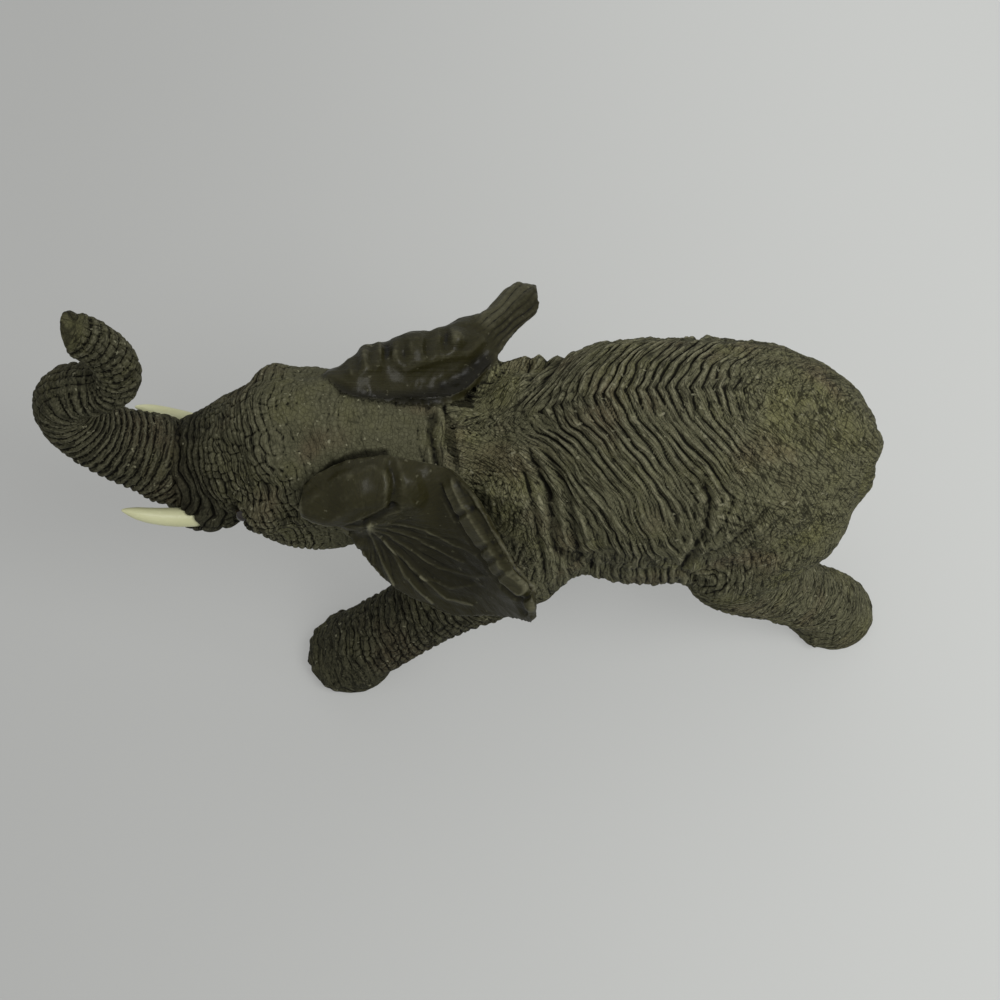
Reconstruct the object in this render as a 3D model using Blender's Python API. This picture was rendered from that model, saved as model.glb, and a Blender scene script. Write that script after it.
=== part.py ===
"""Walking elephant figure with a raised S-shaped trunk, as an assembly of glued moulded pieces.

Units are metres and +Z is up. The head points to -X, the figure's right side is +Y.
The blank is one blended sculpt. Parting cutters divide it into hollow torso halves, a head and legs,
and every cutter leaves the glue gap between two pieces. Trunk, ears, jaw, tusks and tail are mouldings
of their own with a root that plugs into a matching socket.
Tables of shares are places as parts of the named sizes.
"""

import math

import bmesh
import bpy
from mathutils import Matrix, Vector
from mathutils.geometry import interpolate_bezier

# Driving sizes
BACK_HEIGHT = 0.0900
TORSO_LENGTH = 0.0900
TORSO_WIDTH = 0.0472
HEAD_LENGTH = 0.0550
HEAD_WIDTH = 0.0334
HEAD_HEIGHT = 0.0440
HEAD_CENTRE_HEIGHT = 0.0640
FOOT_WIDTH = 0.0205
NAIL_WIDTH = 0.0042
NAIL_HEIGHT = 0.0048
TRUNK_THICKNESS = 0.0174
TRUNK_REACH = 0.0250
TRUNK_RISE = 0.0540
EAR_LENGTH = 0.0450
EAR_START = 0.0272
EAR_LOWER_EDGE = 0.0471
EAR_REACH = 0.0394
EAR_HEIGHT = 0.0377
EAR_THICKNESS = 0.0020
TUSK_LENGTH = 0.0224
TUSK_THICKNESS = 0.0044
TAIL_LENGTH = 0.0415
TAIL_THICKNESS = 0.0032
JAW_LENGTH = 0.0245

# Wall, gaps and how the pieces are keyed
GLUE_GAP = 0.0003
WELD_DISTANCE = 0.000001
WALL = 0.0034
SLEEVE_MARGIN = 0.0026
NECK_PLUG_RADIUS = 0.0078
NECK_PLUG_LENGTH = 0.0080
NECK_PLUG_DROP = 0.0010
TRUNK_PLUG_RADIUS = 0.0048
TRUNK_PLUG_LENGTH = 0.0060
BOSS_RADIUS = 0.0027
PIN_RADIUS = 0.0013
PIN_LENGTH = 0.0040
PIN_END_ROOM = 0.0010
CUTTER_OVERRUN = 0.0300

# How finely the shapes are made
BLEND_VOXEL = 0.0009
BLEND_SMOOTHING_SHARE = 0.6
BLEND_SMOOTHING_STEPS = 6
BLANK_FACES = 4900
BLEND_ROWS = 30
PATH_STEPS = 12
RING_SIDES = 20
ROUND_SIDES = 24
RIDGE_SIDES = 8
LUMP_SIDES = 14
LUMP_RINGS = 8
CORE_SIDES = 16
TUSK_SIDES = 10
TUSK_ROWS = 9
TAIL_SIDES = 8
TAIL_ROWS = 17
JAW_SIDES = 14
SHARP_ANGLE = math.radians(55.0)

TRUNK_RIBS = 36
TRUNK_SIDES = 12
RIB_DEPTH = 0.00025

# Colours and roughness of the bare mouldings
HIDE_COLOUR = (0.062, 0.058, 0.038, 1.0)
HIDE_ROUGHNESS = 0.78
EAR_COLOUR = (0.048, 0.045, 0.030, 1.0)
EAR_ROUGHNESS = 0.60
TUSK_COLOUR = (0.60, 0.58, 0.38, 1.0)
TUSK_ROUGHNESS = 0.45

# The torso from the neck seam to the rump:
# along, half width, spine height, belly height, height of the widest line
TORSO_SHARES = (
    (-0.055, 0.62, 0.820, 0.520, 0.695),
    (0.030, 0.65, 0.828, 0.500, 0.700),
    (0.120, 0.69, 0.850, 0.450, 0.705),
    (0.220, 0.79, 0.900, 0.410, 0.710),
    (0.310, 0.92, 0.970, 0.395, 0.720),
    (0.410, 0.99, 0.998, 0.388, 0.725),
    (0.530, 1.00, 1.000, 0.388, 0.725),
    (0.660, 0.99, 0.990, 0.398, 0.725),
    (0.770, 0.93, 0.972, 0.440, 0.725),
    (0.860, 0.75, 0.938, 0.510, 0.730),
    (0.930, 0.54, 0.885, 0.590, 0.735),
    (0.974, 0.34, 0.825, 0.650, 0.735),
)
SPINE_RIDGE_SHARES = (
    (0.180, 0.884),
    (0.300, 0.954),
    (0.420, 0.995),
    (0.540, 1.000),
    (0.680, 0.988),
    (0.790, 0.966),
    (0.880, 0.926),
    (0.950, 0.862),
)
SPINE_RIDGE_THICKNESS = 0.0040

# The head from the neck seam to the trunk seam:
# along, half width, top above centre, bottom below centre, centre height
HEAD_SHARES = (
    (-0.120, 0.92, 0.50, 0.95, 1.000),
    (0.080, 0.92, 0.60, 0.93, 1.000),
    (0.250, 0.95, 0.84, 0.92, 1.000),
    (0.420, 0.98, 1.00, 0.92, 1.000),
    (0.560, 0.99, 1.02, 0.90, 1.000),
    (0.680, 0.93, 0.93, 0.82, 1.000),
    (0.790, 0.76, 0.76, 0.68, 0.995),
    (0.880, 0.68, 0.57, 0.56, 0.975),
    (0.970, 0.60, 0.46, 0.46, 0.945),
    (1.090, 0.56, 0.41, 0.41, 0.930),
    (1.190, 0.52, 0.38, 0.38, 0.930),
)

# The trunk's centre line from the trunk seam: reach forward, rise, radius
TRUNK_SHARES = (
    (0.070, 0.004, 1.040),
    (0.240, 0.082, 0.955),
    (0.430, 0.145, 0.860),
    (0.595, 0.210, 0.780),
    (0.725, 0.290, 0.720),
    (0.797, 0.372, 0.685),
    (0.803, 0.452, 0.655),
    (0.735, 0.520, 0.620),
    (0.590, 0.554, 0.585),
    (0.430, 0.570, 0.550),
    (0.315, 0.612, 0.515),
    (0.262, 0.690, 0.485),
    (0.282, 0.772, 0.470),
    (0.350, 0.842, 0.460),
    (0.435, 0.895, 0.450),
    (0.505, 0.930, 0.425),
)

TRUNK_SEAM_SHARE = 0.930
TRUNK_ROOT_SHARE = 1.080
TRUNK_ROOT_LEAN_SHARE = 0.7
# The trunk's mouth is turned to look forward over the last share of its rolls
TRUNK_TIP_TURN = math.radians(50.0)
TRUNK_TIP_SHARE = 0.09
# The hollow at the trunk's tip: depth, width
NOSTRIL_SHARES = (
    (-0.010, 0.72),
    (0.060, 0.52),
    (0.140, 0.34),
)

# Legs from the root in the torso to the sole:
# along the torso, out from the middle, height, radius fore and aft, radius across
FRONT_LEFT_SHARES = (
    (0.200, 0.44, 0.820, 1.10, 0.70),
    (0.205, 0.54, 0.710, 1.20, 0.86),
    (0.215, 0.60, 0.590, 1.20, 0.92),
    (0.160, 0.64, 0.480, 1.08, 0.90),
    (0.065, 0.66, 0.385, 0.96, 0.87),
    (-0.030, 0.68, 0.290, 0.88, 0.83),
    (-0.115, 0.72, 0.195, 0.83, 0.80),
    (-0.195, 0.76, 0.110, 0.86, 0.86),
    (-0.258, 0.79, 0.045, 1.00, 0.97),
    (-0.266, 0.79, -0.010, 1.00, 0.97),
)
FRONT_RIGHT_SHARES = (
    (0.200, 0.44, 0.820, 1.10, 0.70),
    (0.205, 0.54, 0.710, 1.20, 0.86),
    (0.220, 0.60, 0.590, 1.18, 0.90),
    (0.225, 0.62, 0.480, 1.05, 0.88),
    (0.230, 0.63, 0.370, 0.92, 0.86),
    (0.235, 0.63, 0.270, 0.84, 0.82),
    (0.240, 0.62, 0.170, 0.80, 0.80),
    (0.243, 0.61, 0.095, 0.84, 0.84),
    (0.245, 0.60, 0.040, 0.96, 0.94),
    (0.245, 0.60, -0.010, 0.96, 0.94),
)
HIND_LEFT_SHARES = (
    (0.800, 0.44, 0.780, 1.15, 0.80),
    (0.770, 0.54, 0.660, 1.35, 0.96),
    (0.715, 0.60, 0.550, 1.28, 0.96),
    (0.680, 0.60, 0.450, 1.08, 0.90),
    (0.725, 0.54, 0.350, 0.92, 0.84),
    (0.805, 0.46, 0.260, 0.84, 0.79),
    (0.890, 0.39, 0.170, 0.82, 0.78),
    (0.970, 0.34, 0.088, 0.91, 0.86),
    (1.007, 0.32, 0.035, 1.02, 0.98),
    (1.009, 0.32, -0.010, 1.02, 0.98),
)
HIND_RIGHT_SHARES = (
    (0.800, 0.44, 0.780, 1.15, 0.80),
    (0.770, 0.54, 0.660, 1.35, 0.96),
    (0.710, 0.60, 0.550, 1.26, 0.96),
    (0.650, 0.63, 0.440, 1.06, 0.92),
    (0.610, 0.64, 0.330, 0.90, 0.84),
    (0.595, 0.64, 0.230, 0.82, 0.79),
    (0.580, 0.63, 0.140, 0.80, 0.78),
    (0.565, 0.62, 0.065, 0.88, 0.86),
    (0.560, 0.62, 0.025, 0.96, 0.94),
    (0.560, 0.62, -0.010, 0.96, 0.94),
)

# Each leg's name, its table and its side of the figure
LEGS = (
    ("front_left_leg", FRONT_LEFT_SHARES, -1.0),
    ("front_right_leg", FRONT_RIGHT_SHARES, 1.0),
    ("hind_left_leg", HIND_LEFT_SHARES, -1.0),
    ("hind_right_leg", HIND_RIGHT_SHARES, 1.0),
)
# A leg's sections turn level between the ankle and the top of the foot
ANKLE_SHARE = 0.200
FOOT_TOP_SHARE = 0.045

# Toenails: turn round the foot from straight ahead, and how far out and how high they sit
NAIL_TURN_SHARES = (-0.36, -0.13, 0.10, 0.33)
NAIL_OUT_SHARE = 0.93
NAIL_RISE_SHARE = 0.55

# Muscle and bone lumps of the torso, the same on both sides:
# along, out, height, then radii along, across and upright
TORSO_LUMP_SHARES = (
    (0.200, 0.32, 0.690, 0.150, 0.34, 0.200),
    (0.245, 0.60, 0.520, 0.095, 0.28, 0.100),
    (0.750, 0.42, 0.720, 0.180, 0.42, 0.215),
    (0.480, 0.50, 0.560, 0.260, 0.44, 0.160),
    (0.080, 0.20, 0.540, 0.110, 0.34, 0.120),
)
# Lumps of the head, the same on both sides:
# along, out, above the centre, then radii along, across and upright
HEAD_LUMP_SHARES = (
    (0.655, 0.86, 0.06, 0.100, 0.26, 0.28),
    (0.500, 0.62, -0.38, 0.260, 0.34, 0.50),
    (0.550, 0.00, 0.62, 0.260, 0.60, 0.42),
    (0.900, 0.59, -0.32, 0.150, 0.23, 0.22),
)

# The ears, front end to tip: places along the ear, and at each of them a row that runs from the fold
# over the head down to the lower edge, as pairs of out from the middle and height above the ear's lower edge
LEFT_EAR_ROW_SHARES = (0.000, 0.093, 0.222, 0.352, 0.500, 0.648, 0.778, 0.907, 1.000)
LEFT_EAR_SHARES = (
    ((0.40, 0.84), (0.43, 0.83), (0.46, 0.80), (0.48, 0.76), (0.46, 0.72), (0.44, 0.69), (0.41, 0.66)),
    ((0.34, 0.90), (0.42, 0.89), (0.50, 0.81), (0.52, 0.73), (0.47, 0.68), (0.42, 0.64), (0.40, 0.56)),
    ((0.30, 0.94), (0.39, 0.95), (0.50, 0.87), (0.56, 0.72), (0.50, 0.63), (0.45, 0.47), (0.48, 0.27)),
    ((0.29, 0.95), (0.36, 0.97), (0.47, 0.90), (0.54, 0.75), (0.48, 0.65), (0.52, 0.40), (0.58, 0.07)),
    ((0.29, 0.90), (0.34, 0.90), (0.41, 0.82), (0.46, 0.70), (0.50, 0.56), (0.60, 0.30), (0.65, 0.00)),
    ((0.33, 0.89), (0.38, 0.86), (0.45, 0.77), (0.52, 0.65), (0.60, 0.48), (0.69, 0.22), (0.72, -0.01)),
    ((0.54, 0.88), (0.59, 0.81), (0.65, 0.71), (0.70, 0.59), (0.73, 0.46), (0.76, 0.30), (0.78, 0.13)),
    ((0.79, 0.77), (0.82, 0.72), (0.86, 0.64), (0.88, 0.57), (0.88, 0.49), (0.88, 0.41), (0.87, 0.32)),
    ((0.90, 0.72), (0.92, 0.69), (0.94, 0.65), (0.96, 0.61), (0.97, 0.57), (0.98, 0.54), (0.98, 0.51)),
)
RIGHT_EAR_ROW_SHARES = (0.036, 0.134, 0.251, 0.365, 0.512, 0.653, 0.778, 0.910, 1.030)
RIGHT_EAR_SHARES = (
    ((0.13, 0.95), (0.15, 0.94), (0.18, 0.91), (0.22, 0.83), (0.25, 0.75), (0.27, 0.67), (0.28, 0.60)),
    ((0.08, 0.97), (0.12, 0.98), (0.17, 0.99), (0.25, 0.93), (0.32, 0.77), (0.35, 0.62), (0.35, 0.50)),
    ((0.05, 0.95), (0.12, 0.96), (0.21, 0.99), (0.34, 0.93), (0.42, 0.77), (0.43, 0.55), (0.42, 0.32)),
    ((0.07, 0.89), (0.17, 0.88), (0.28, 0.95), (0.41, 0.93), (0.49, 0.76), (0.50, 0.50), (0.51, 0.21)),
    ((0.11, 0.82), (0.23, 0.80), (0.34, 0.92), (0.48, 0.89), (0.54, 0.70), (0.58, 0.42), (0.59, 0.10)),
    ((0.16, 0.77), (0.31, 0.76), (0.44, 0.86), (0.60, 0.81), (0.66, 0.62), (0.70, 0.34), (0.68, 0.06)),
    ((0.31, 0.74), (0.44, 0.74), (0.57, 0.79), (0.70, 0.76), (0.75, 0.60), (0.78, 0.40), (0.76, 0.22)),
    ((0.59, 0.70), (0.68, 0.70), (0.79, 0.71), (0.92, 0.68), (0.95, 0.57), (0.97, 0.47), (0.95, 0.37)),
    ((0.78, 0.63), (0.82, 0.63), (0.87, 0.65), (0.94, 0.63), (0.97, 0.57), (0.99, 0.52), (0.99, 0.47)),
)
# How strongly the fold of each ear ripples, by row and by point down the row
EAR_RIPPLE_ROW_SHARES = (0.00, 0.60, 1.00, 1.00, 1.00, 0.80, 0.50, 0.20, 0.00)
LEFT_EAR_RIPPLE_FOLD_SHARES = (1.00, 1.00, 1.00, 0.70, 0.25, 0.00, 0.00)
RIGHT_EAR_RIPPLE_FOLD_SHARES = (0.00, 0.25, 1.00, 0.80, 0.30, 0.00, 0.00)
LEFT_EAR_RIPPLE = 0.0003
RIGHT_EAR_RIPPLE = 0.0009
EAR_RIPPLES = 5
EAR_ROWS = 31
EAR_COLUMNS = 21
EAR_VOXEL = 0.0005
EAR_SMOOTHING_STEPS = 3
SOCKET_SMOOTHING_STEPS = 1
EAR_FACES = 940
# The ear's root: along, out, height, then radii along, across and upright
EAR_ROOT_SHARES = (0.300, 0.400, 0.560, 0.170, 0.110, 0.260)
EAR_RIM_SHARE = 0.55
EAR_RIM_STEEPNESS = 7.0
SHEET_ROOM_SHARE = 1.8

# Tusk centre line from its root in the head: forward, out, up, thickness
TUSK_SHARES = (
    (0.000, 0.000, 0.000, 0.78),
    (0.310, 0.105, 0.040, 1.00),
    (0.560, 0.150, 0.105, 0.96),
    (0.760, 0.175, 0.185, 0.80),
    (0.900, 0.182, 0.255, 0.58),
    (0.975, 0.182, 0.295, 0.34),
    (1.000, 0.181, 0.310, 0.14),
)
# Where the tusk's root stands: along the head, out, above the head's centre
TUSK_ROOT_SHARES = (0.800, 0.500, -0.364)

# Tail centre line from its root: backward, aside, down, thickness
TAIL_SHARES = (
    (-0.120, 0.00, -0.010, 1.35),
    (0.010, 0.00, 0.010, 1.25),
    (0.080, 0.00, 0.085, 1.10),
    (0.095, -0.01, 0.230, 0.85),
    (0.075, -0.02, 0.400, 0.68),
    (0.055, -0.03, 0.590, 0.58),
    (0.045, -0.04, 0.720, 0.62),
    (0.040, -0.045, 0.820, 0.92),
    (0.038, -0.05, 0.920, 0.74),
    (0.038, -0.05, 1.000, 0.24),
)
# Where the tail's root stands: along the torso, height
TAIL_ROOT_SHARES = (0.940, 0.815)

# Lower jaw from its root to the lip: forward, half width, above, below, height above the jaw's line
JAW_SHARES = (
    (0.000, 0.235, 0.150, 0.160, 0.020),
    (0.200, 0.255, 0.150, 0.180, -0.010),
    (0.420, 0.240, 0.120, 0.170, -0.060),
    (0.620, 0.200, 0.090, 0.140, -0.120),
    (0.800, 0.150, 0.070, 0.110, -0.170),
    (0.930, 0.095, 0.050, 0.075, -0.190),
    (1.000, 0.040, 0.025, 0.035, -0.190),
)
# Where the jaw's root stands: along the head, above the head's centre
JAW_ROOT_SHARES = (0.560, -0.75)

# Locating bosses that join the torso halves: along, height
BOSS_SHARES = (
    (0.365, 0.805),
    (0.505, 0.560),
    (0.712, 0.825),
)
# The hollow in the torso: places along it, its middle, its floor, and how much of the room it takes in width
CORE_SHARES = (0.300, 0.410, 0.530, 0.660, 0.770, 0.840)
CORE_MIDDLE_SHARE = 0.770
CORE_FLOOR_SHARE = 0.620
CORE_WIDTH_SHARE = 0.94
LEG_SEAM_SHARE = 0.550


def clear_scene():
    """Removes everything that the file holds at the start."""
    for old in list(bpy.data.objects):
        bpy.data.objects.remove(old, do_unlink=True)


def moulding(name, colour, roughness):
    """A plain moulded plastic."""
    material = bpy.data.materials.new(name)
    material.use_nodes = True
    shader = material.node_tree.nodes["Principled BSDF"]
    shader.inputs["Base Color"].default_value = colour
    shader.inputs["Roughness"].default_value = roughness
    shader.inputs["Metallic"].default_value = 0.0
    material.diffuse_color = colour
    return material


def add_object(name, mesh, material=None):
    """Links a mesh into the scene as an object."""
    made = bpy.data.objects.new(name, mesh)
    bpy.context.scene.collection.objects.link(made)
    if material is not None:
        made.data.materials.clear()
        made.data.materials.append(material)
    return made


def as_helper(made):
    """Marks an object as a cutter or guide."""
    made.hide_render = True
    made.display_type = "WIRE"
    return made


def mesh_from(bm, name):
    """Closes the bmesh into a mesh with its faces pointing out."""
    bmesh.ops.recalc_face_normals(bm, faces=bm.faces)
    if bm.calc_volume(signed=True) < 0.0:
        bmesh.ops.reverse_faces(bm, faces=bm.faces)
    mesh = bpy.data.meshes.new(name)
    bm.to_mesh(mesh)
    bm.free()
    return mesh


def along_torso(share):
    """X of a place along the torso, from the neck seam to the rump."""
    return share * TORSO_LENGTH


def along_head(share):
    """X of a place along the head, from the neck seam forward."""
    return -share * HEAD_LENGTH


def ring_frame(centre, forward, across, upward, lower=None):
    """One section of a loft: its centre, its plane, and its radii across, above and below."""
    normal = Vector(forward).normalized()
    up = normal.cross(Vector((0.0, 1.0, 0.0))).normalized()
    side = up.cross(normal).normalized()
    below = upward if lower is None else lower
    return Vector(centre), side, up, across, upward, below


def ring_point(section, angle, grow=0.0):
    """A point of a section's outline."""
    centre, side, up, across, upward, below = section
    reach = math.sin(angle)
    height = upward if reach >= 0.0 else below
    return centre + side * math.cos(angle) * (across + grow) + up * reach * (height + grow)


def add_loft(bm, sections, sides=RING_SIDES, grow=0.0):
    """Extrudes one ring through every section and closes both ends with a low dome."""
    angles = [math.tau * step / sides for step in range(sides)]
    first = bmesh.ops.create_circle(bm, cap_ends=False, segments=sides, radius=1.0)["verts"]
    for vert, angle in zip(first, angles):
        vert.co = ring_point(sections[0], angle, grow)
    ring = first
    edges = [bm.edges.get((ring[k], ring[(k + 1) % sides])) for k in range(sides)]
    for section in sections[1:]:
        made = bmesh.ops.extrude_edge_only(bm, edges=edges)["geom"]
        fresh = {vert for vert in made if isinstance(vert, bmesh.types.BMVert)}
        following = []
        for vert in ring:
            near = [edge.other_vert(vert) for edge in vert.link_edges]
            following.append(next(other for other in near if other in fresh))
        for vert, angle in zip(following, angles):
            vert.co = ring_point(section, angle, grow)
        ring = following
        edges = [bm.edges.get((ring[k], ring[(k + 1) % sides])) for k in range(sides)]
    for end in (first, ring):
        face = bmesh.ops.contextual_create(bm, geom=list(end))["faces"]
        bmesh.ops.poke(bm, faces=face)


def loft_object(name, sections, sides=RING_SIDES, grow=0.0, material=None):
    """A closed loft as an object of its own."""
    bm = bmesh.new()
    add_loft(bm, sections, sides, grow)
    return add_object(name, mesh_from(bm, name), material)


def path_sections(points, radii):
    """Round sections square to a path of points, with a radius at each."""
    sections = []
    for k, point in enumerate(points):
        before = points[max(k - 1, 0)]
        after = points[min(k + 1, len(points) - 1)]
        sections.append(ring_frame(point, after - before, radii[k], radii[k]))
    return sections


def smooth_path(points, radii, steps):
    """Points and radii read evenly from a smooth curve through the given ones."""
    fine_points, fine_radii = [points[0]], [radii[0]]
    last = len(points) - 1
    for k in range(last):
        before, start = points[max(k - 1, 0)], points[k]
        end, after = points[k + 1], points[min(k + 2, last)]
        handle_out = start + (end - before) / 6.0
        handle_in = end - (after - start) / 6.0
        curve = interpolate_bezier(start, handle_out, handle_in, end, PATH_STEPS)
        for j in range(1, PATH_STEPS):
            blend = j / (PATH_STEPS - 1)
            fine_points.append(curve[j])
            fine_radii.append(radii[k] + (radii[k + 1] - radii[k]) * blend)
    walked = [0.0]
    for near, beyond in zip(fine_points, fine_points[1:]):
        walked.append(walked[-1] + (beyond - near).length)
    found_points, found_radii, j = [], [], 0
    for step in range(steps + 1):
        target = walked[-1] * step / steps
        while j < len(walked) - 2 and walked[j + 1] < target:
            j += 1
        blend = (target - walked[j]) / (walked[j + 1] - walked[j])
        found_points.append(fine_points[j].lerp(fine_points[j + 1], blend))
        found_radii.append(fine_radii[j] + (fine_radii[j + 1] - fine_radii[j]) * blend)
    return found_points, found_radii


def refined(rows, count):
    """Rows read evenly from smooth curves through the given rows."""
    columns = list(zip(*rows))
    found = []
    for step in range(count + 1):
        place = (len(rows) - 1) * step / count
        found.append(tuple(smooth_between(column, place) for column in columns))
    return found


def torso_sections():
    """Sections of the barrel of the body."""
    sections = []
    for along, width, spine, belly, widest in refined(TORSO_SHARES, BLEND_ROWS):
        centre = Vector((along_torso(along), 0.0, widest * BACK_HEIGHT))
        across = width * TORSO_WIDTH / 2.0
        above = (spine - widest) * BACK_HEIGHT
        below = (widest - belly) * BACK_HEIGHT
        sections.append(ring_frame(centre, (1.0, 0.0, 0.0), across, above, below))
    return sections


def spine_sections():
    """A low ridge along the backbone."""
    points = []
    for along, height in SPINE_RIDGE_SHARES:
        sunk = height * BACK_HEIGHT - SPINE_RIDGE_THICKNESS / 4.0
        points.append(Vector((along_torso(along), 0.0, sunk)))
    return path_sections(points, [SPINE_RIDGE_THICKNESS / 2.0] * len(points))


def head_sections():
    """Sections of the head, from inside the neck to inside the trunk."""
    sections = []
    for along, width, top, bottom, centre_share in refined(HEAD_SHARES, BLEND_ROWS):
        centre = Vector((along_head(along), 0.0, centre_share * HEAD_CENTRE_HEIGHT))
        across = width * HEAD_WIDTH / 2.0
        above = top * HEAD_HEIGHT / 2.0
        below = bottom * HEAD_HEIGHT / 2.0
        sections.append(ring_frame(centre, (1.0, 0.0, 0.0), across, above, below))
    return sections


def leg_sections(shares, side):
    """Sections of a leg, level at the foot and square to the leg above the ankle."""
    half = TORSO_WIDTH / 2.0
    radius = FOOT_WIDTH / 2.0
    points = [Vector((along_torso(row[0]), side * row[1] * half, row[2] * BACK_HEIGHT)) for row in shares]
    sections = []
    for k, (point, row) in enumerate(zip(points, shares)):
        down = (points[min(k + 1, len(points) - 1)] - points[max(k - 1, 0)]).normalized()
        level_share = (ANKLE_SHARE - row[2]) / (ANKLE_SHARE - FOOT_TOP_SHARE)
        down = down.lerp(Vector((0.0, 0.0, -1.0)), min(max(level_share, 0.0), 1.0)).normalized()
        fore = Vector((0.0, 1.0, 0.0)).cross(down).normalized()
        across = down.cross(fore).normalized()
        sections.append((point, fore, across, row[3] * radius, row[4] * radius, row[4] * radius))
    return sections


def lump(bm, centre, radii):
    """An ellipsoid of flesh or bone."""
    matrix = Matrix.Translation(centre) @ Matrix.Diagonal((*radii, 1.0))
    bmesh.ops.create_uvsphere(bm, u_segments=LUMP_SIDES, v_segments=LUMP_RINGS, radius=1.0, matrix=matrix)


def add_lumps(bm):
    """The muscle and bone forms on both sides of the figure."""
    half = TORSO_WIDTH / 2.0
    half_head = HEAD_WIDTH / 2.0
    for side in (-1.0, 1.0):
        for along, out, height, r_along, r_out, r_up in TORSO_LUMP_SHARES:
            centre = Vector((along_torso(along), side * out * half, height * BACK_HEIGHT))
            lump(bm, centre, (r_along * TORSO_LENGTH, r_out * half, r_up * BACK_HEIGHT))
        for along, out, above, r_along, r_out, r_up in HEAD_LUMP_SHARES:
            height = HEAD_CENTRE_HEIGHT + above * HEAD_HEIGHT / 2.0
            centre = Vector((along_head(along), side * out * half_head, height))
            lump(bm, centre, (r_along * HEAD_LENGTH, r_out * half_head, r_up * HEAD_HEIGHT / 2.0))


def add_nails(bm, shares, side):
    """The toenails round the front of a foot."""
    along, out, _, fore, across = shares[-2]
    reach = NAIL_OUT_SHARE * FOOT_WIDTH / 2.0
    radii = (NAIL_WIDTH / 2.0, NAIL_WIDTH / 2.0, NAIL_HEIGHT / 2.0)
    for turn in NAIL_TURN_SHARES:
        angle = math.pi + turn * math.pi
        x = along_torso(along) + math.cos(angle) * fore * reach
        y = side * out * TORSO_WIDTH / 2.0 + math.sin(angle) * across * reach
        lump(bm, Vector((x, y, NAIL_HEIGHT * NAIL_RISE_SHARE)), radii)


def evaluated_copy(made):
    """The object's mesh with its modifiers applied."""
    graph = bpy.context.evaluated_depsgraph_get()
    graph.update()
    return bpy.data.meshes.new_from_object(made.evaluated_get(graph), depsgraph=graph)


def blended(mesh, voxel, steps, faces):
    """Melts overlapping shapes into one smooth skin with about the given count of faces."""
    rough = add_object("rough", mesh)
    remesh = rough.modifiers.new("blend", "REMESH")
    remesh.mode = "VOXEL"
    remesh.voxel_size = voxel
    smooth = rough.modifiers.new("soften", "SMOOTH")
    smooth.factor = BLEND_SMOOTHING_SHARE
    smooth.iterations = steps
    melted = evaluated_copy(rough)
    bpy.data.objects.remove(rough)
    fewer = add_object("fewer", melted)
    reduce = fewer.modifiers.new("reduce", "DECIMATE")
    reduce.ratio = faces / (2.0 * len(melted.polygons))
    reduced = evaluated_copy(fewer)
    bpy.data.objects.remove(fewer)
    return reduced


def sculpt_blank():
    """The whole figure without trunk, ears, tusks, jaw and tail, as one blended body with flat soles."""
    bm = bmesh.new()
    add_loft(bm, torso_sections())
    add_loft(bm, spine_sections(), RIDGE_SIDES)
    add_loft(bm, head_sections())
    for _, shares, side in LEGS:
        add_loft(bm, leg_sections(refined(shares, BLEND_ROWS), side))
        add_nails(bm, shares, side)
    add_lumps(bm)
    reduced = blended(mesh_from(bm, "figure_blank"), BLEND_VOXEL, BLEND_SMOOTHING_STEPS, BLANK_FACES)
    bm = bmesh.new()
    bm.from_mesh(reduced)
    flatten_soles(bm)
    return mesh_from(bm, "figure_blank")


def flatten_soles(bm):
    """Cuts away what lies below the floor, and closes each cut flat."""
    geometry = [*bm.verts, *bm.edges, *bm.faces]
    down = Vector((0.0, 0.0, -1.0))
    bmesh.ops.bisect_plane(bm, geom=geometry, plane_co=Vector(), plane_no=down, clear_outer=True)
    rim = [edge for edge in bm.edges if edge.is_boundary]
    bmesh.ops.holes_fill(bm, edges=rim, sides=0)


def combined(made, other, operation):
    """The first object joined with, cut by or limited to the second one, which is left as it was."""
    modifier = made.modifiers.new("combine", "BOOLEAN")
    modifier.operation = operation
    modifier.solver = "EXACT"
    modifier.object = other
    mesh = evaluated_copy(made)
    made.modifiers.remove(modifier)
    made.data = mesh
    return made


def cut_by(made, *cutters):
    """Cuts every cutter from the object."""
    for cutter in cutters:
        combined(made, cutter, "DIFFERENCE")
    return made


def joined_to(made, *additions):
    """Joins the additions to the object and removes them."""
    for addition in additions:
        combined(made, addition, "UNION")
        bpy.data.objects.remove(addition)
    return made


def twin(source, name, material):
    """A second object with the same mesh."""
    return add_object(name, source.data.copy(), material)


def box(name, low, high):
    """A block between two corners, as a cutter."""
    bm = bmesh.new()
    low, high = Vector(low), Vector(high)
    size = high - low
    matrix = Matrix.Translation((low + high) / 2.0) @ Matrix.Diagonal((*size, 1.0))
    bmesh.ops.create_cube(bm, size=1.0, matrix=matrix)
    return as_helper(add_object(name, mesh_from(bm, name)))


def rod(name, start, end, radius):
    """A round peg between two points."""
    start, end = Vector(start), Vector(end)
    turn = (end - start).to_track_quat("Z", "Y").to_matrix().to_4x4()
    matrix = Matrix.Translation((start + end) / 2.0) @ turn
    bm = bmesh.new()
    bmesh.ops.create_cone(
        bm,
        cap_ends=True,
        segments=ROUND_SIDES,
        radius1=radius,
        radius2=radius,
        depth=(end - start).length,
        matrix=matrix,
    )
    return as_helper(add_object(name, mesh_from(bm, name)))


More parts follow.
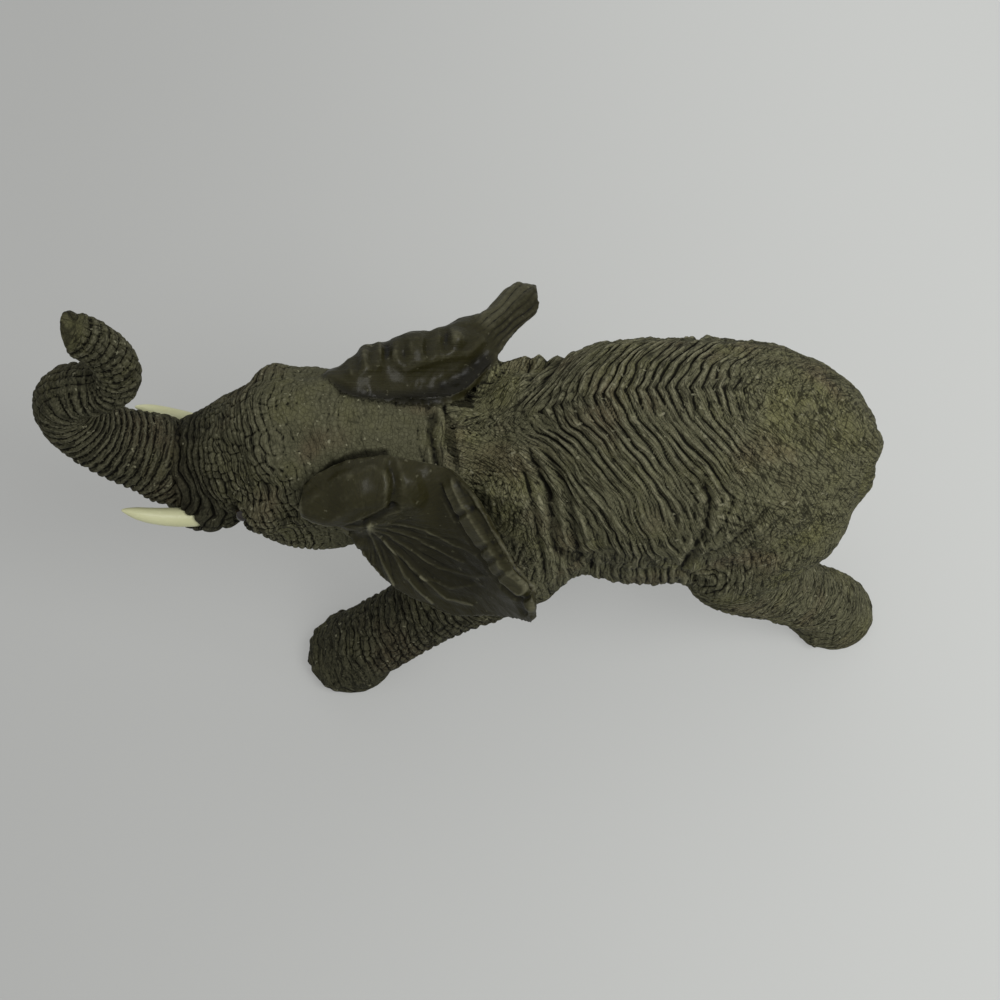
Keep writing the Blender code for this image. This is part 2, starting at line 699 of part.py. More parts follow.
def sleeve(name, shares, side, grow):
    """The zone that a leg takes out of the blank: level on top, and running down past the sole."""
    seam = LEG_SEAM_SHARE * BACK_HEIGHT
    rows = leg_sections(shares, side)
    above = [row for row in rows if row[0].z >= seam][-1]
    below = [row for row in rows if row[0].z < seam]
    blend = (above[0].z - seam) / (above[0].z - below[0][0].z)
    centre = above[0].lerp(below[0][0], blend) + Vector((0.0, 0.0, grow))
    fore = above[3] + (below[0][3] - above[3]) * blend
    across = above[4] + (below[0][4] - above[4]) * blend
    top = (centre, Vector((-1.0, 0.0, 0.0)), Vector((0.0, 1.0, 0.0)), fore, across, across)
    foot_centre, *foot = below[-1]
    under = (foot_centre - Vector((0.0, 0.0, CUTTER_OVERRUN)), *foot)
    zone = [top, *below[1:], under]
    return as_helper(loft_object(name, zone, ROUND_SIDES, SLEEVE_MARGIN + grow))


def torso_core():
    """The hollow between the torso halves."""
    middle = CORE_MIDDLE_SHARE * BACK_HEIGHT
    floor = CORE_FLOOR_SHARE * BACK_HEIGHT
    sections = []
    for along in CORE_SHARES:
        row = min(TORSO_SHARES, key=lambda shares: abs(shares[0] - along))
        centre = Vector((along_torso(along), 0.0, middle))
        across = CORE_WIDTH_SHARE * (row[1] * TORSO_WIDTH / 2.0 - WALL)
        above = row[2] * BACK_HEIGHT - middle - WALL
        sections.append(ring_frame(centre, (1.0, 0.0, 0.0), across, above, middle - floor))
    core = as_helper(loft_object("torso_core", sections, CORE_SIDES))
    for along, height in BOSS_SHARES:
        x, z = along_torso(along), height * BACK_HEIGHT
        boss = rod("boss", (x, -TORSO_WIDTH, z), (x, TORSO_WIDTH, z), BOSS_RADIUS)
        cut_by(core, boss)
        bpy.data.objects.remove(boss)
    return core


def trunk_base():
    """The middle of the seam between head and trunk."""
    return Vector((along_head(1.0), 0.0, TRUNK_SEAM_SHARE * HEAD_CENTRE_HEIGHT))


def trunk_rolls(face):
    """Sections of the trunk's rolls of skin, which lean no farther back than the seam's face allows."""
    points, radii = [face], [TRUNK_ROOT_SHARE * TRUNK_THICKNESS / 2.0]
    for reach, rise, radius in TRUNK_SHARES:
        points.append(trunk_base() + Vector((-reach * TRUNK_REACH, 0.0, rise * TRUNK_RISE)))
        radii.append(radius * TRUNK_THICKNESS / 2.0)
    points, radii = smooth_path(points, radii, TRUNK_RIBS * 2)
    for k in range(1, len(radii) - 1):
        radii[k] += RIB_DEPTH if k % 2 else -RIB_DEPTH
    rolls = []
    for k, (point, radius) in enumerate(zip(points, radii)):
        ahead = points[min(k + 1, len(points) - 1)] - points[max(k - 1, 0)]
        lean = math.atan2(ahead.z, -ahead.x)
        room_share = (face.x - point.x) / radius
        if room_share < 1.0:
            most = math.asin(max(room_share, 0.0)) * TRUNK_ROOT_LEAN_SHARE
            lean = max(0.0, min(lean, most))
        to_tip = 1.0 - k / (len(points) - 1.0)
        lean -= TRUNK_TIP_TURN * max(0.0, 1.0 - to_tip / TRUNK_TIP_SHARE)
        rolls.append(ring_frame(point, (-math.cos(lean), 0.0, math.sin(lean)), radius, radius))
    return rolls


def make_trunk(material):
    """The ringed trunk as one loft: the plug at its root, its rolls, and the nostril hollow at its tip."""
    back = (-1.0, 0.0, 0.0)
    face = trunk_base() - Vector((GLUE_GAP / 2.0, 0.0, 0.0))
    end = trunk_base() + Vector((TRUNK_PLUG_LENGTH, 0.0, 0.0))
    plug = [ring_frame(place, back, TRUNK_PLUG_RADIUS, TRUNK_PLUG_RADIUS) for place in (end, face)]
    rolls = trunk_rolls(face)
    tip_centre, side, up, across, above, below = rolls[-1]
    inward = (rolls[-3][0] - tip_centre).normalized()
    hollow = []
    for depth, width in NOSTRIL_SHARES:
        place = tip_centre + inward * depth * TRUNK_THICKNESS
        hollow.append((place, side, up, width * across, width * above, width * below))
    return loft_object("trunk", [*plug, *rolls, *hollow], TRUNK_SIDES, material=material)


def trunk_socket(name):
    """The room that the trunk's plug takes in the head."""
    start = trunk_base() - Vector((CUTTER_OVERRUN, 0.0, 0.0))
    end = trunk_base() + Vector((TRUNK_PLUG_LENGTH + GLUE_GAP, 0.0, 0.0))
    return rod(name, start, end, TRUNK_PLUG_RADIUS + GLUE_GAP * 2.0)


def neck_plug(name, grow):
    """The round plug that seats the head in the torso."""
    height = HEAD_CENTRE_HEIGHT - NECK_PLUG_DROP
    start = (-NECK_PLUG_LENGTH / 2.0, 0.0, height)
    end = (NECK_PLUG_LENGTH + grow, 0.0, height)
    return rod(name, start, end, NECK_PLUG_RADIUS + grow)


def stretched(points, grow):
    """The path with both ends pushed outward."""
    longer = list(points)
    longer[0] = points[0] + (points[0] - points[1]).normalized() * grow
    longer[-1] = points[-1] + (points[-1] - points[-2]).normalized() * grow
    return longer


def tusk(name, side, grow=0.0, material=None):
    """A tusk with its root."""
    along, out, above = TUSK_ROOT_SHARES
    height = HEAD_CENTRE_HEIGHT + above * HEAD_HEIGHT / 2.0
    root = Vector((along_head(along), side * out * HEAD_WIDTH / 2.0, height))
    points, radii = [], []
    for forward, outward, up, thickness in TUSK_SHARES:
        points.append(root + Vector((-forward, side * outward, up)) * TUSK_LENGTH)
        radii.append(thickness * TUSK_THICKNESS / 2.0)
    points, radii = smooth_path(points, radii, TUSK_ROWS)
    sections = path_sections(stretched(points, grow), radii)
    return loft_object(name, sections, TUSK_SIDES, grow, material)


def tail(name, grow=0.0, material=None):
    """The hanging tail with its tuft."""
    along, height = TAIL_ROOT_SHARES
    root = Vector((along_torso(along), 0.0, height * BACK_HEIGHT))
    points, radii = [], []
    for back, aside, down, thickness in TAIL_SHARES:
        points.append(root + Vector((back, aside, -down)) * TAIL_LENGTH)
        radii.append(thickness * TAIL_THICKNESS / 2.0)
    points, radii = smooth_path(points, radii, TAIL_ROWS)
    sections = path_sections(stretched(points, grow), radii)
    return loft_object(name, sections, TAIL_SIDES, grow, material)


def jaw(name, grow=0.0, material=None):
    """The lower jaw, deepest at its root and drawn to a narrow lip."""
    along, above = JAW_ROOT_SHARES
    root = Vector((along_head(along), 0.0, HEAD_CENTRE_HEIGHT + above * HEAD_HEIGHT / 2.0))
    places = [root + Vector((-row[0], 0.0, row[4])) * JAW_LENGTH for row in JAW_SHARES]
    sections = []
    for place, (_, width, top, bottom, _) in zip(stretched(places, grow), JAW_SHARES):
        radii = (width * JAW_LENGTH, top * JAW_LENGTH, bottom * JAW_LENGTH)
        sections.append(ring_frame(place, (1.0, 0.0, 0.0), *radii))
    return loft_object(name, sections, JAW_SIDES, grow, material)


def smooth_between(values, place):
    """A smooth curve through evenly counted values, read at a place between them."""
    last = len(values) - 1
    k = min(int(place), last - 1)
    t = place - k
    before, start = values[max(k - 1, 0)], values[k]
    end, after = values[k + 1], values[min(k + 2, last)]
    rise_out, rise_in = (end - before) / 2.0, (after - start) / 2.0
    t2, t3 = t * t, t * t * t
    return (
        start * (2.0 * t3 - 3.0 * t2 + 1.0)
        + rise_out * (t3 - 2.0 * t2 + t)
        + end * (3.0 * t2 - 2.0 * t3)
        + rise_in * (t3 - t2)
    )


def ear_controls(side):
    """The places that the ear's sheet runs through, row by row from its front end to its tip."""
    if side < 0.0:
        places_along, shares = LEFT_EAR_ROW_SHARES, LEFT_EAR_SHARES
    else:
        places_along, shares = RIGHT_EAR_ROW_SHARES, RIGHT_EAR_SHARES
    rows = []
    for along, row in zip(places_along, shares):
        x = along * EAR_LENGTH - EAR_START
        rows.append([Vector((x, side * out * EAR_REACH, EAR_LOWER_EDGE + up * EAR_HEIGHT)) for out, up in row])
    return rows


def ear_point(controls, side, u, v):
    """A place on the ear's sheet, with the ripple of its fold."""
    last_row, last_column = len(controls) - 1, len(controls[0]) - 1
    strip = [smooth_between(row, v * last_column) for row in controls]
    place = smooth_between(strip, u * last_row)
    fold = LEFT_EAR_RIPPLE_FOLD_SHARES if side < 0.0 else RIGHT_EAR_RIPPLE_FOLD_SHARES
    strength = smooth_between(EAR_RIPPLE_ROW_SHARES, u * last_row)
    strength *= smooth_between(fold, v * last_column)
    depth = LEFT_EAR_RIPPLE if side < 0.0 else RIGHT_EAR_RIPPLE
    wave = strength * depth * math.sin(u * EAR_RIPPLES * math.tau)
    return place + Vector((0.0, side * wave / 2.0, wave))


def ear_root(name, side):
    """The thick root that seats the ear in the side of the head."""
    along, out, up, r_along, r_out, r_up = EAR_ROOT_SHARES
    x = along * EAR_LENGTH - EAR_START
    centre = Vector((x, side * out * EAR_REACH, EAR_LOWER_EDGE + up * EAR_HEIGHT))
    bm = bmesh.new()
    lump(bm, centre, (r_along * EAR_LENGTH, r_out * EAR_REACH, r_up * EAR_HEIGHT))
    return as_helper(add_object(name, mesh_from(bm, name)))


def ear_sheet(name, side):
    """The ear's curved sheet with its thick rim."""
    controls = ear_controls(side)
    bm = bmesh.new()
    deform = bm.verts.layers.deform.verify()
    bmesh.ops.create_grid(bm, x_segments=EAR_ROWS - 1, y_segments=EAR_COLUMNS - 1, size=1.0)
    for vert in bm.verts:
        u = (vert.co.x + 1.0) / 2.0
        v = (vert.co.y + 1.0) / 2.0
        edge = min(u, 1.0 - u, v, 1.0 - v)
        rim = max(0.0, 1.0 - edge * EAR_RIM_STEEPNESS)
        vert.co = ear_point(controls, side, u, v)
        vert[deform][0] = EAR_RIM_SHARE + (1.0 - EAR_RIM_SHARE) * rim
    sheet = as_helper(add_object(name, mesh_from(bm, name)))
    sheet.vertex_groups.new(name="rim")
    thicken = sheet.modifiers.new("thicken", "SOLIDIFY")
    thicken.thickness = EAR_THICKNESS
    thicken.offset = 0.0
    thicken.vertex_group = "rim"
    solid = evaluated_copy(sheet)
    sheet.modifiers.clear()
    sheet.data = solid
    sheet.vertex_groups.clear()
    return sheet


def ear(name, side, material):
    """The flared ear, its sheet and root blended into one moulding."""
    sheet = ear_sheet("ear_sheet", side)
    root = ear_root("root", side)
    bm = bmesh.new()
    bm.from_mesh(sheet.data)
    bm.from_mesh(root.data)
    bpy.data.objects.remove(sheet)
    bpy.data.objects.remove(root)
    mesh = blended(mesh_from(bm, name), EAR_VOXEL, EAR_SMOOTHING_STEPS, EAR_FACES)
    return add_object(name, mesh, material)


def ear_socket(source):
    """The room that the ear takes out of the head: the ear grown all round by the gap, and melted again."""
    room = as_helper(twin(source, "ear_socket", None))
    grow = room.modifiers.new("grow", "DISPLACE")
    grow.mid_level = 0.0
    grow.strength = GLUE_GAP * SHEET_ROOM_SHARE
    mesh = blended(evaluated_copy(room), EAR_VOXEL, SOCKET_SMOOTHING_STEPS, EAR_FACES)
    room.modifiers.clear()
    room.data = mesh
    return room


def settle(pieces):
    """Hangs the pieces on one empty, which puts the middle of the figure's box over the origin."""
    corners = [vert.co for piece in pieces for vert in piece.data.vertices]
    xs, ys, zs = zip(*corners)
    figure = add_object("figure", None)
    figure.location = (-(min(xs) + max(xs)) / 2.0, -(min(ys) + max(ys)) / 2.0, -min(zs))
    for piece in pieces:
        piece.parent = figure


def clean(piece):
    """Welds the doubled points that cutting leaves, and shades the round forms smooth."""
    bm = bmesh.new()
    bm.from_mesh(piece.data)
    bmesh.ops.remove_doubles(bm, verts=bm.verts, dist=WELD_DISTANCE)
    bmesh.ops.triangulate(bm, faces=bm.faces)
    bmesh.ops.recalc_face_normals(bm, faces=bm.faces)
    bm.to_mesh(piece.data)
    bm.free()
    piece.data.shade_smooth()
    piece.data.set_sharp_from_angle(angle=SHARP_ANGLE)


def main():
    """Builds every piece of the figure."""
    clear_scene()
    hide = moulding("hide", HIDE_COLOUR, HIDE_ROUGHNESS)
    ear_hide = moulding("ear_hide", EAR_COLOUR, EAR_ROUGHNESS)
    ivory = moulding("ivory", TUSK_COLOUR, TUSK_ROUGHNESS)

    blank = as_helper(add_object("figure_blank", sculpt_blank()))
    far = 4.0 * BACK_HEIGHT
    pieces = []

    tight = [sleeve("zone", shares, side, 0.0) for _, shares, side in LEGS]
    loose = [sleeve("zone_room", shares, side, GLUE_GAP) for _, shares, side in LEGS]
    for (name, _, _), zone in zip(LEGS, tight):
        leg = twin(blank, name, hide)
        combined(leg, zone, "INTERSECT")
        pieces.append(leg)
    body = twin(blank, "body", hide)
    cut_by(body, *loose)

    gap = GLUE_GAP / 2.0
    head = twin(body, "head", hide)
    head_zone = box("head_zone", (along_head(1.0) + gap, -far, 0.0), (-gap, far, far))
    combined(head, head_zone, "INTERSECT")
    joined_to(head, neck_plug("plug", 0.0))
    cut_by(body, box("neck_zone", (-far, -far, 0.0), (gap, far, far)), neck_plug("neck_socket", GLUE_GAP))
    cut_by(body, torso_core())

    left = twin(body, "torso_left_half", hide)
    right = twin(body, "torso_right_half", hide)
    bpy.data.objects.remove(body)
    cut_by(left, box("right_zone", (-far, -gap, -far), (far, far, far)))
    cut_by(right, box("left_zone", (-far, -far, -far), (far, gap, far)))
    for along, height in BOSS_SHARES:
        x, z = along_torso(along), height * BACK_HEIGHT
        joined_to(right, rod("pin", (x, -PIN_LENGTH, z), (x, PIN_LENGTH, z), PIN_RADIUS))
        hole_end = PIN_LENGTH + PIN_END_ROOM
        cut_by(left, rod("pin_hole", (x, -hole_end, z), (x, hole_end, z), PIN_RADIUS + GLUE_GAP))
    pieces += [left, right, head]

    trunk = make_trunk(hide)
    cut_by(head, trunk_socket("trunk_socket"))
    pieces.append(trunk)
    for side, word, half in ((-1.0, "left", left), (1.0, "right", right)):
        flared = ear(word + "_ear", side, ear_hide)
        cut_by(head, ear_socket(flared))
        cut_by(half, ear_socket(flared))
        pieces.append(flared)
        cut_by(head, as_helper(tusk("tusk_room", side, GLUE_GAP)))
        pieces.append(tusk(word + "_tusk", side, material=ivory))
    cut_by(head, as_helper(jaw("jaw_room", GLUE_GAP)))
    pieces.append(jaw("lower_jaw", material=hide))
    tail_room = as_helper(tail("tail_room", GLUE_GAP))
    cut_by(left, tail_room)
    cut_by(right, tail_room)
    pieces.append(tail("tail", material=hide))

    for piece in pieces:
        clean(piece)
    settle(pieces)


if __name__ == "__main__":
    main()
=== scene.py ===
"""The looks of a walking elephant figure with a raised trunk, as a Blender add-on that is run as a script.

The skin is melted from the frame's solids, sculpted with folds and cracks that follow the body, painted by
its relief and with painted light and shade, and parted again into one piece for each solid. Sculpting
functions measure in millimetres.
"""

import itertools
import math

import bmesh
import bpy
import numpy as np
from bpy.props import FloatProperty, FloatVectorProperty, PointerProperty
from mathutils import Matrix, Vector
from mathutils.bvhtree import BVHTree


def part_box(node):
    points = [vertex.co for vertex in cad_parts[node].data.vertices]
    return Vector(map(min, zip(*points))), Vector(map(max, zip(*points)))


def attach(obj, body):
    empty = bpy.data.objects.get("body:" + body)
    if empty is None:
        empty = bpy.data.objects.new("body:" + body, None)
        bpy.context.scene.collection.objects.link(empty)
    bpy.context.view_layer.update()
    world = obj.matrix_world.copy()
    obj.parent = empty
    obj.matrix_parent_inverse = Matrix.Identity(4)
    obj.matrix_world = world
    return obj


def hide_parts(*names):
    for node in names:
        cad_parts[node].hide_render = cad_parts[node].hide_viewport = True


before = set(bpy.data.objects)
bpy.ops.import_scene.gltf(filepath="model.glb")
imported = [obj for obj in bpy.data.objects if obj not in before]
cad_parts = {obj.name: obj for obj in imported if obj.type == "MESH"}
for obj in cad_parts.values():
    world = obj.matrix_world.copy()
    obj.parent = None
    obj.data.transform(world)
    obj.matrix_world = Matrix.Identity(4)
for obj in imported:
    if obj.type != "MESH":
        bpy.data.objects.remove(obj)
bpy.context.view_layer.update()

bl_info = {
    "name": "Elephant figure",
    "version": (1, 0, 0),
    "blender": (4, 5, 0),
    "location": "View3D > Sidebar > Elephant",
    "description": "Sculpts and paints a walking elephant figure on its frame",
    "category": "Add Mesh",
}

MM = 1000.0
SKIN_NODES = (
    "torso_left_half", "torso_right_half", "head", "trunk", "lower_jaw", "left_ear", "right_ear",
    "front_left_leg", "front_right_leg", "hind_left_leg", "hind_right_leg", "tail",
)
LEG_NODES = SKIN_NODES[7:11]
THIN_NODES = ("left_ear", "right_ear", "tail", "trunk")

# Landmarks of the figure in millimetres, read from the frame
MIDDLE_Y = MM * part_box("torso_left_half")[1].y + 0.15
NECK_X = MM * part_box("torso_left_half")[0].x
BACK_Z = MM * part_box("torso_left_half")[1].z
HEAD_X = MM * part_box("head")[0].x
EYE_X, EYE_Z = NECK_X - 41.0, 65.5

# The camera, worked out from the figure's feet, spine and tips in the photograph
CAMERA_TILT = math.radians(28.0)
CAMERA_LENS = 55.1
CAMERA_TARGET = Vector((NECK_X + 10.95, MIDDLE_Y + 23.35, 0.0)) / MM
CAMERA_DISTANCE = 0.38565
PIXELS_PER_RADIAN = 1531.0
PHOTO_MIDDLE = 500.0
TO_CAMERA = Vector((0.0, -math.sin(CAMERA_TILT), math.cos(CAMERA_TILT)))


class FigureSizes(bpy.types.PropertyGroup):
    """Sizes of the sculpted skin."""

    skin_edge: FloatProperty(
        name="Skin edge", description="Edge length of the sculpted skin",
        default=0.0003, unit="LENGTH",
    )
    closing: FloatProperty(
        name="Closing", description="How far solids are grown to close the glue gaps",
        default=0.0003, unit="LENGTH",
    )
    back_fold_spacing: FloatProperty(
        name="Back fold spacing", description="Distance between folds along the spine",
        default=0.0021, unit="LENGTH",
    )
    back_fold_depth: FloatProperty(
        name="Back fold depth", description="Depth of the folds of the back",
        default=0.00055, unit="LENGTH",
    )
    roll_spacing: FloatProperty(
        name="Roll spacing", description="Distance between the rolls of the trunk",
        default=0.0018, unit="LENGTH",
    )
    roll_depth: FloatProperty(
        name="Roll depth", description="Depth of the rolls of the trunk",
        default=0.00040, unit="LENGTH",
    )
    trunk_thickness: FloatProperty(
        name="Trunk thickness", description="Thickness that the trunk's radii follow",
        default=0.0174, unit="LENGTH",
    )
    trunk_reach: FloatProperty(
        name="Trunk reach", description="How far the trunk's line reaches forward",
        default=0.0250, unit="LENGTH",
    )
    trunk_rise: FloatProperty(
        name="Trunk rise", description="How far the trunk's line rises",
        default=0.0540, unit="LENGTH",
    )
    trunk_base_height: FloatProperty(
        name="Trunk base height", description="Height of the trunk's root",
        default=0.0595, unit="LENGTH",
    )
    eye_width: FloatProperty(
        name="Eye width", description="Width of an eye",
        default=0.0032, unit="LENGTH",
    )


class FigureColours(bpy.types.PropertyGroup):
    """Paint of the figure."""

    # Also the colour of the painted shade
    groove: FloatVectorProperty(
        name="Wash", description="Dark wash in the grooves",
        default=(0.0040, 0.0036, 0.0020), subtype="COLOR", size=3,
    )
    hide: FloatVectorProperty(
        name="Hide", description="Paint of the hide",
        default=(0.121, 0.118, 0.068), subtype="COLOR", size=3,
    )
    # Also the colour of the painted highlights
    ridge: FloatVectorProperty(
        name="Ridge", description="Dry-brushed ridges",
        default=(0.235, 0.226, 0.142), subtype="COLOR", size=3,
    )
    moss: FloatVectorProperty(
        name="Moss", description="Greenish tint of shoulder and haunch",
        default=(0.158, 0.154, 0.062), subtype="COLOR", size=3,
    )
    rust: FloatVectorProperty(
        name="Rust", description="Brownish tint of flank and thigh",
        default=(0.150, 0.112, 0.066), subtype="COLOR", size=3,
    )
    fleck: FloatVectorProperty(
        name="Fleck", description="Pale flecks of the dry brush",
        default=(0.30, 0.29, 0.19), subtype="COLOR", size=3,
    )
    ear: FloatVectorProperty(
        name="Ear", description="Paint of the ears",
        default=(0.022, 0.020, 0.0065), subtype="COLOR", size=3,
    )
    ivory: FloatVectorProperty(
        name="Ivory", description="Paint of the tusks",
        default=(0.52, 0.52, 0.31), subtype="COLOR", size=3,
    )
    floor: FloatVectorProperty(
        name="Floor", description="Colour of the floor",
        default=(0.50, 0.51, 0.49), subtype="COLOR", size=3,
    )


# Maths on arrays of points


def smoothstep(low, high, value):
    """0 below low, 1 above high, smooth between."""
    share = np.clip((value - low) / (high - low), 0.0, 1.0)
    return share * share * (3.0 - 2.0 * share)


def bump(middle, width, value):
    """A smooth hill that is 1 in its middle and 0 at its width to either side."""
    return 1.0 - smoothstep(0.0, width, np.abs(value - middle))


GRADIENTS = np.random.default_rng(7).normal(size=(256, 3))
GRADIENTS /= np.linalg.norm(GRADIENTS, axis=1)[:, None]
PRIMES = np.array([73856093, 19349663, 83492791], np.int64)


def grain(points, size, seed):
    """Smooth random values from about -1 to 1, in grains of the given size."""
    scaled = points / size + seed * 13.7
    cell = np.floor(scaled)
    inside = scaled - cell
    fade = inside * inside * inside * (inside * (inside * 6.0 - 15.0) + 10.0)
    base = cell.astype(np.int64) * PRIMES
    total = np.zeros(len(points))
    for corner in itertools.product((0, 1), repeat=3):
        hashed = base + PRIMES * corner
        mixed = hashed[:, 0] ^ hashed[:, 1] ^ hashed[:, 2]
        gradient = GRADIENTS[(mixed ^ (mixed >> 9)) & 255]
        weight = np.prod(np.where(corner, fade, 1.0 - fade), axis=1)
        total += weight * np.einsum("ij,ij->i", gradient, inside - corner)
    return 1.7 * total


def rough(points, size, seed, octaves):
    """Several layers of grain, each half the size and strength of the one before."""
    total = np.zeros(len(points))
    for octave in range(octaves):
        share = 0.5 ** octave
        total += share * grain(points, size * share, seed + octave)
    return total


def rolls(phase, sharpness):
    """Rounded ridges with narrow grooves between them: 1 on a ridge and -1 in a groove, one for each turn."""
    return 2.0 * np.abs(np.sin(phase * math.pi)) ** sharpness - 1.0


def photo_pixels(points):
    """Where points in millimetres stand in the photograph, as columns and rows."""
    across = points[:, 0] - MM * CAMERA_TARGET.x
    outward = points[:, 1] + MIDDLE_Y - MM * CAMERA_TARGET.y
    sine, cosine = math.sin(CAMERA_TILT), math.cos(CAMERA_TILT)
    depth = MM * CAMERA_DISTANCE + sine * outward - cosine * points[:, 2]
    column = PHOTO_MIDDLE + PIXELS_PER_RADIAN * across / depth
    row = PHOTO_MIDDLE - PIXELS_PER_RADIAN * (cosine * outward + sine * points[:, 2]) / depth
    return np.stack([column, row], axis=1)


def near_side(points):
    """Points with those of the far side mirrored to the side that the photograph shows."""
    return points * (1.0, 0.0, 1.0) - np.abs(points) * (0.0, 1.0, 0.0)


def cracks(phase, width):
    """Thin grooves, one for each turn: -1 in a groove and 0 between."""
    return smoothstep(0.0, width, np.abs(phase - np.round(phase))) - 1.0


def blob(places, middle, radius):
    """1 at a middle, 0 from a radius on."""
    return 1.0 - smoothstep(0.0, radius, np.linalg.norm(places - np.array(middle, float), axis=1))


def ribbon(places, line, inner, outer):
    """1 along a line of points out to the inner distance, 0 from the outer distance on."""
    return 1.0 - smoothstep(inner, outer, distance_to_line(places, line)[0])


def distance_to_line(places, line):
    """Distance of flat places from a line of points, and how far along the line the nearest place lies."""
    best = np.full(len(places), np.inf)
    along = np.zeros(len(places))
    walked = 0.0
    for start, end in zip(line, line[1:]):
        start, end = np.array(start, float), np.array(end, float)
        step = end - start
        length = np.linalg.norm(step)
        share = np.clip((places - start) @ step / length ** 2, 0.0, 1.0)
        gap = np.linalg.norm(places - start - share[:, None] * step, axis=1)
        closer = gap < best
        best = np.where(closer, gap, best)
        along = np.where(closer, walked + share * length, along)
        walked += length
    return best, along


# The trunk's centre line from its root: reach forward, rise, radius
TRUNK_SHARES = (
    (0.000, 0.000, 1.080), (0.070, 0.004, 1.040), (0.240, 0.082, 0.955), (0.430, 0.145, 0.860),
    (0.595, 0.210, 0.780), (0.725, 0.290, 0.720), (0.797, 0.372, 0.685), (0.803, 0.452, 0.655),
    (0.735, 0.520, 0.620), (0.590, 0.554, 0.585), (0.430, 0.570, 0.550), (0.315, 0.612, 0.515),
    (0.262, 0.690, 0.485), (0.282, 0.772, 0.470), (0.350, 0.842, 0.460), (0.435, 0.895, 0.450),
    (0.505, 0.930, 0.425),
)
TRUNK_STEPS = 16


def trunk_line(sizes):
    """Fine points of the trunk's centre line, their radii and their distances from its root."""
    rows = np.array(TRUNK_SHARES)
    rows[:, 0] = HEAD_X - rows[:, 0] * MM * sizes.trunk_reach
    rows[:, 1] = MM * (sizes.trunk_base_height + rows[:, 1] * sizes.trunk_rise)
    rows[:, 2] *= MM * sizes.trunk_thickness / 2.0
    fine = []
    last = len(rows) - 1
    for k in range(last):
        before, start, end, after = rows[max(k - 1, 0)], rows[k], rows[k + 1], rows[min(k + 2, last)]
        for t in np.arange(TRUNK_STEPS) / TRUNK_STEPS:
            fine.append(
                0.5 * (2.0 * start + (end - before) * t
                       + (2.0 * before - 5.0 * start + 4.0 * end - after) * t * t
                       + (3.0 * start - before - 3.0 * end + after) * t ** 3)
            )
    fine = np.array([*fine, rows[-1]])
    steps = np.linalg.norm(np.diff(fine[:, :2], axis=0), axis=1)
    return fine[:, :2], fine[:, 2], np.concatenate([[0.0], np.cumsum(steps)])


# Meshes and arrays


def merged_solids(names, grow):
    """The named solids in one bmesh, merged, each grown so that the gaps between them close."""
    bm = bmesh.new()
    for name in names:
        bm.from_mesh(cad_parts[name].data)
    bmesh.ops.remove_doubles(bm, verts=bm.verts, dist=0.000002)
    bmesh.ops.recalc_face_normals(bm, faces=bm.faces)
    bm.normal_update()
    for vert in bm.verts:
        vert.co += vert.normal * grow
    return bm


def keep_outer_shell(bm):
    """Deletes the shells of hollows that stay closed inside the skin."""
    start = min(bm.verts, key=lambda vert: vert.co.x)
    seen = {start}
    front = [start]
    while front:
        following = []
        for vert in front:
            for edge in vert.link_edges:
                other = edge.other_vert(vert)
                if other not in seen:
                    seen.add(other)
                    following.append(other)
        front = following
    bmesh.ops.delete(bm, geom=[vert for vert in bm.verts if vert not in seen], context="VERTS")


def new_object(name, bm):
    """Links a bmesh into the scene as an object at the origin."""
    mesh = bpy.data.meshes.new(name)
    bm.to_mesh(mesh)
    bm.free()
    made = bpy.data.objects.new(name, mesh)
    bpy.context.scene.collection.objects.link(made)
    return made


def apply_modifier(made, kind, **settings):
    """Adds one modifier and replaces the object's mesh with what it makes."""
    modifier = made.modifiers.new(kind.lower(), kind)
    for key, value in settings.items():
        setattr(modifier, key, value)
    graph = bpy.context.evaluated_depsgraph_get()
    mesh = bpy.data.meshes.new_from_object(made.evaluated_get(graph), depsgraph=graph)
    made.modifiers.clear()
    old = made.data
    made.data = mesh
    bpy.data.meshes.remove(old)


def read(mesh, collection, attribute, width, kind=np.float32):
    """One attribute of all points, edges or faces, as an array."""
    items = getattr(mesh, collection)
    values = np.empty(len(items) * width, kind)
    items.foreach_get(attribute, values)
    return values.reshape(-1, width) if width > 1 else values


# How the skin is smoothed: the two strokes that keep its size, their count, how much less thin parts get, and
# the steps that spread the solids' shares and that take the seams away
STROKE_IN, STROKE_BACK = 0.50, 0.52
FAIRING_STEPS = 14
THIN_RELIEF = 0.55
SHARE_STEPS = 10
SEAM_STEPS = 30
# Millimetres over the floor that stay flat as a sole
SOLE_BAND = 0.15


class Neighbours:
    """Means over the points that share an edge with each point."""

    def __init__(self, mesh):
        ends = read(mesh, "edges", "vertices", 2, np.int32)
        self.first, self.second = ends[:, 0], ends[:, 1]
        self.count = len(mesh.vertices)
        self.links = sum(np.bincount(end, minlength=self.count) for end in (self.first, self.second))

    def mean(self, values):
        """The mean of the neighbours' values."""
        columns = values if values.ndim == 2 else values[:, None]
        found = np.empty(columns.shape)
        for k in range(columns.shape[1]):
            column = columns[:, k]
            total = np.bincount(self.first, column[self.second], self.count)
            total += np.bincount(self.second, column[self.first], self.count)
            found[:, k] = total / self.links
        return found if values.ndim == 2 else found[:, 0]

    def softened(self, values, steps, share=0.5):
        """Values after repeated steps towards the neighbours' mean."""
        for _ in range(steps):
            values = values + share * (self.mean(values) - values)
        return values

    def faired(self, points, strength, steps):
        """Points smoothed without shrinking, as strongly as each one's strength says."""
        for _ in range(steps):
            points = points + STROKE_IN * strength[:, None] * (self.mean(points) - points)
            points = points - STROKE_BACK * strength[:, None] * (self.mean(points) - points)
        return points


def creases(across, along, side, width, seed):
    """Thin grooves that wander along, fork and end: -1 in a groove and 0 between."""
    return smoothstep(0.0, width, np.abs(grain(np.stack([across, along, side], axis=1), 1.0, seed))) - 1.0


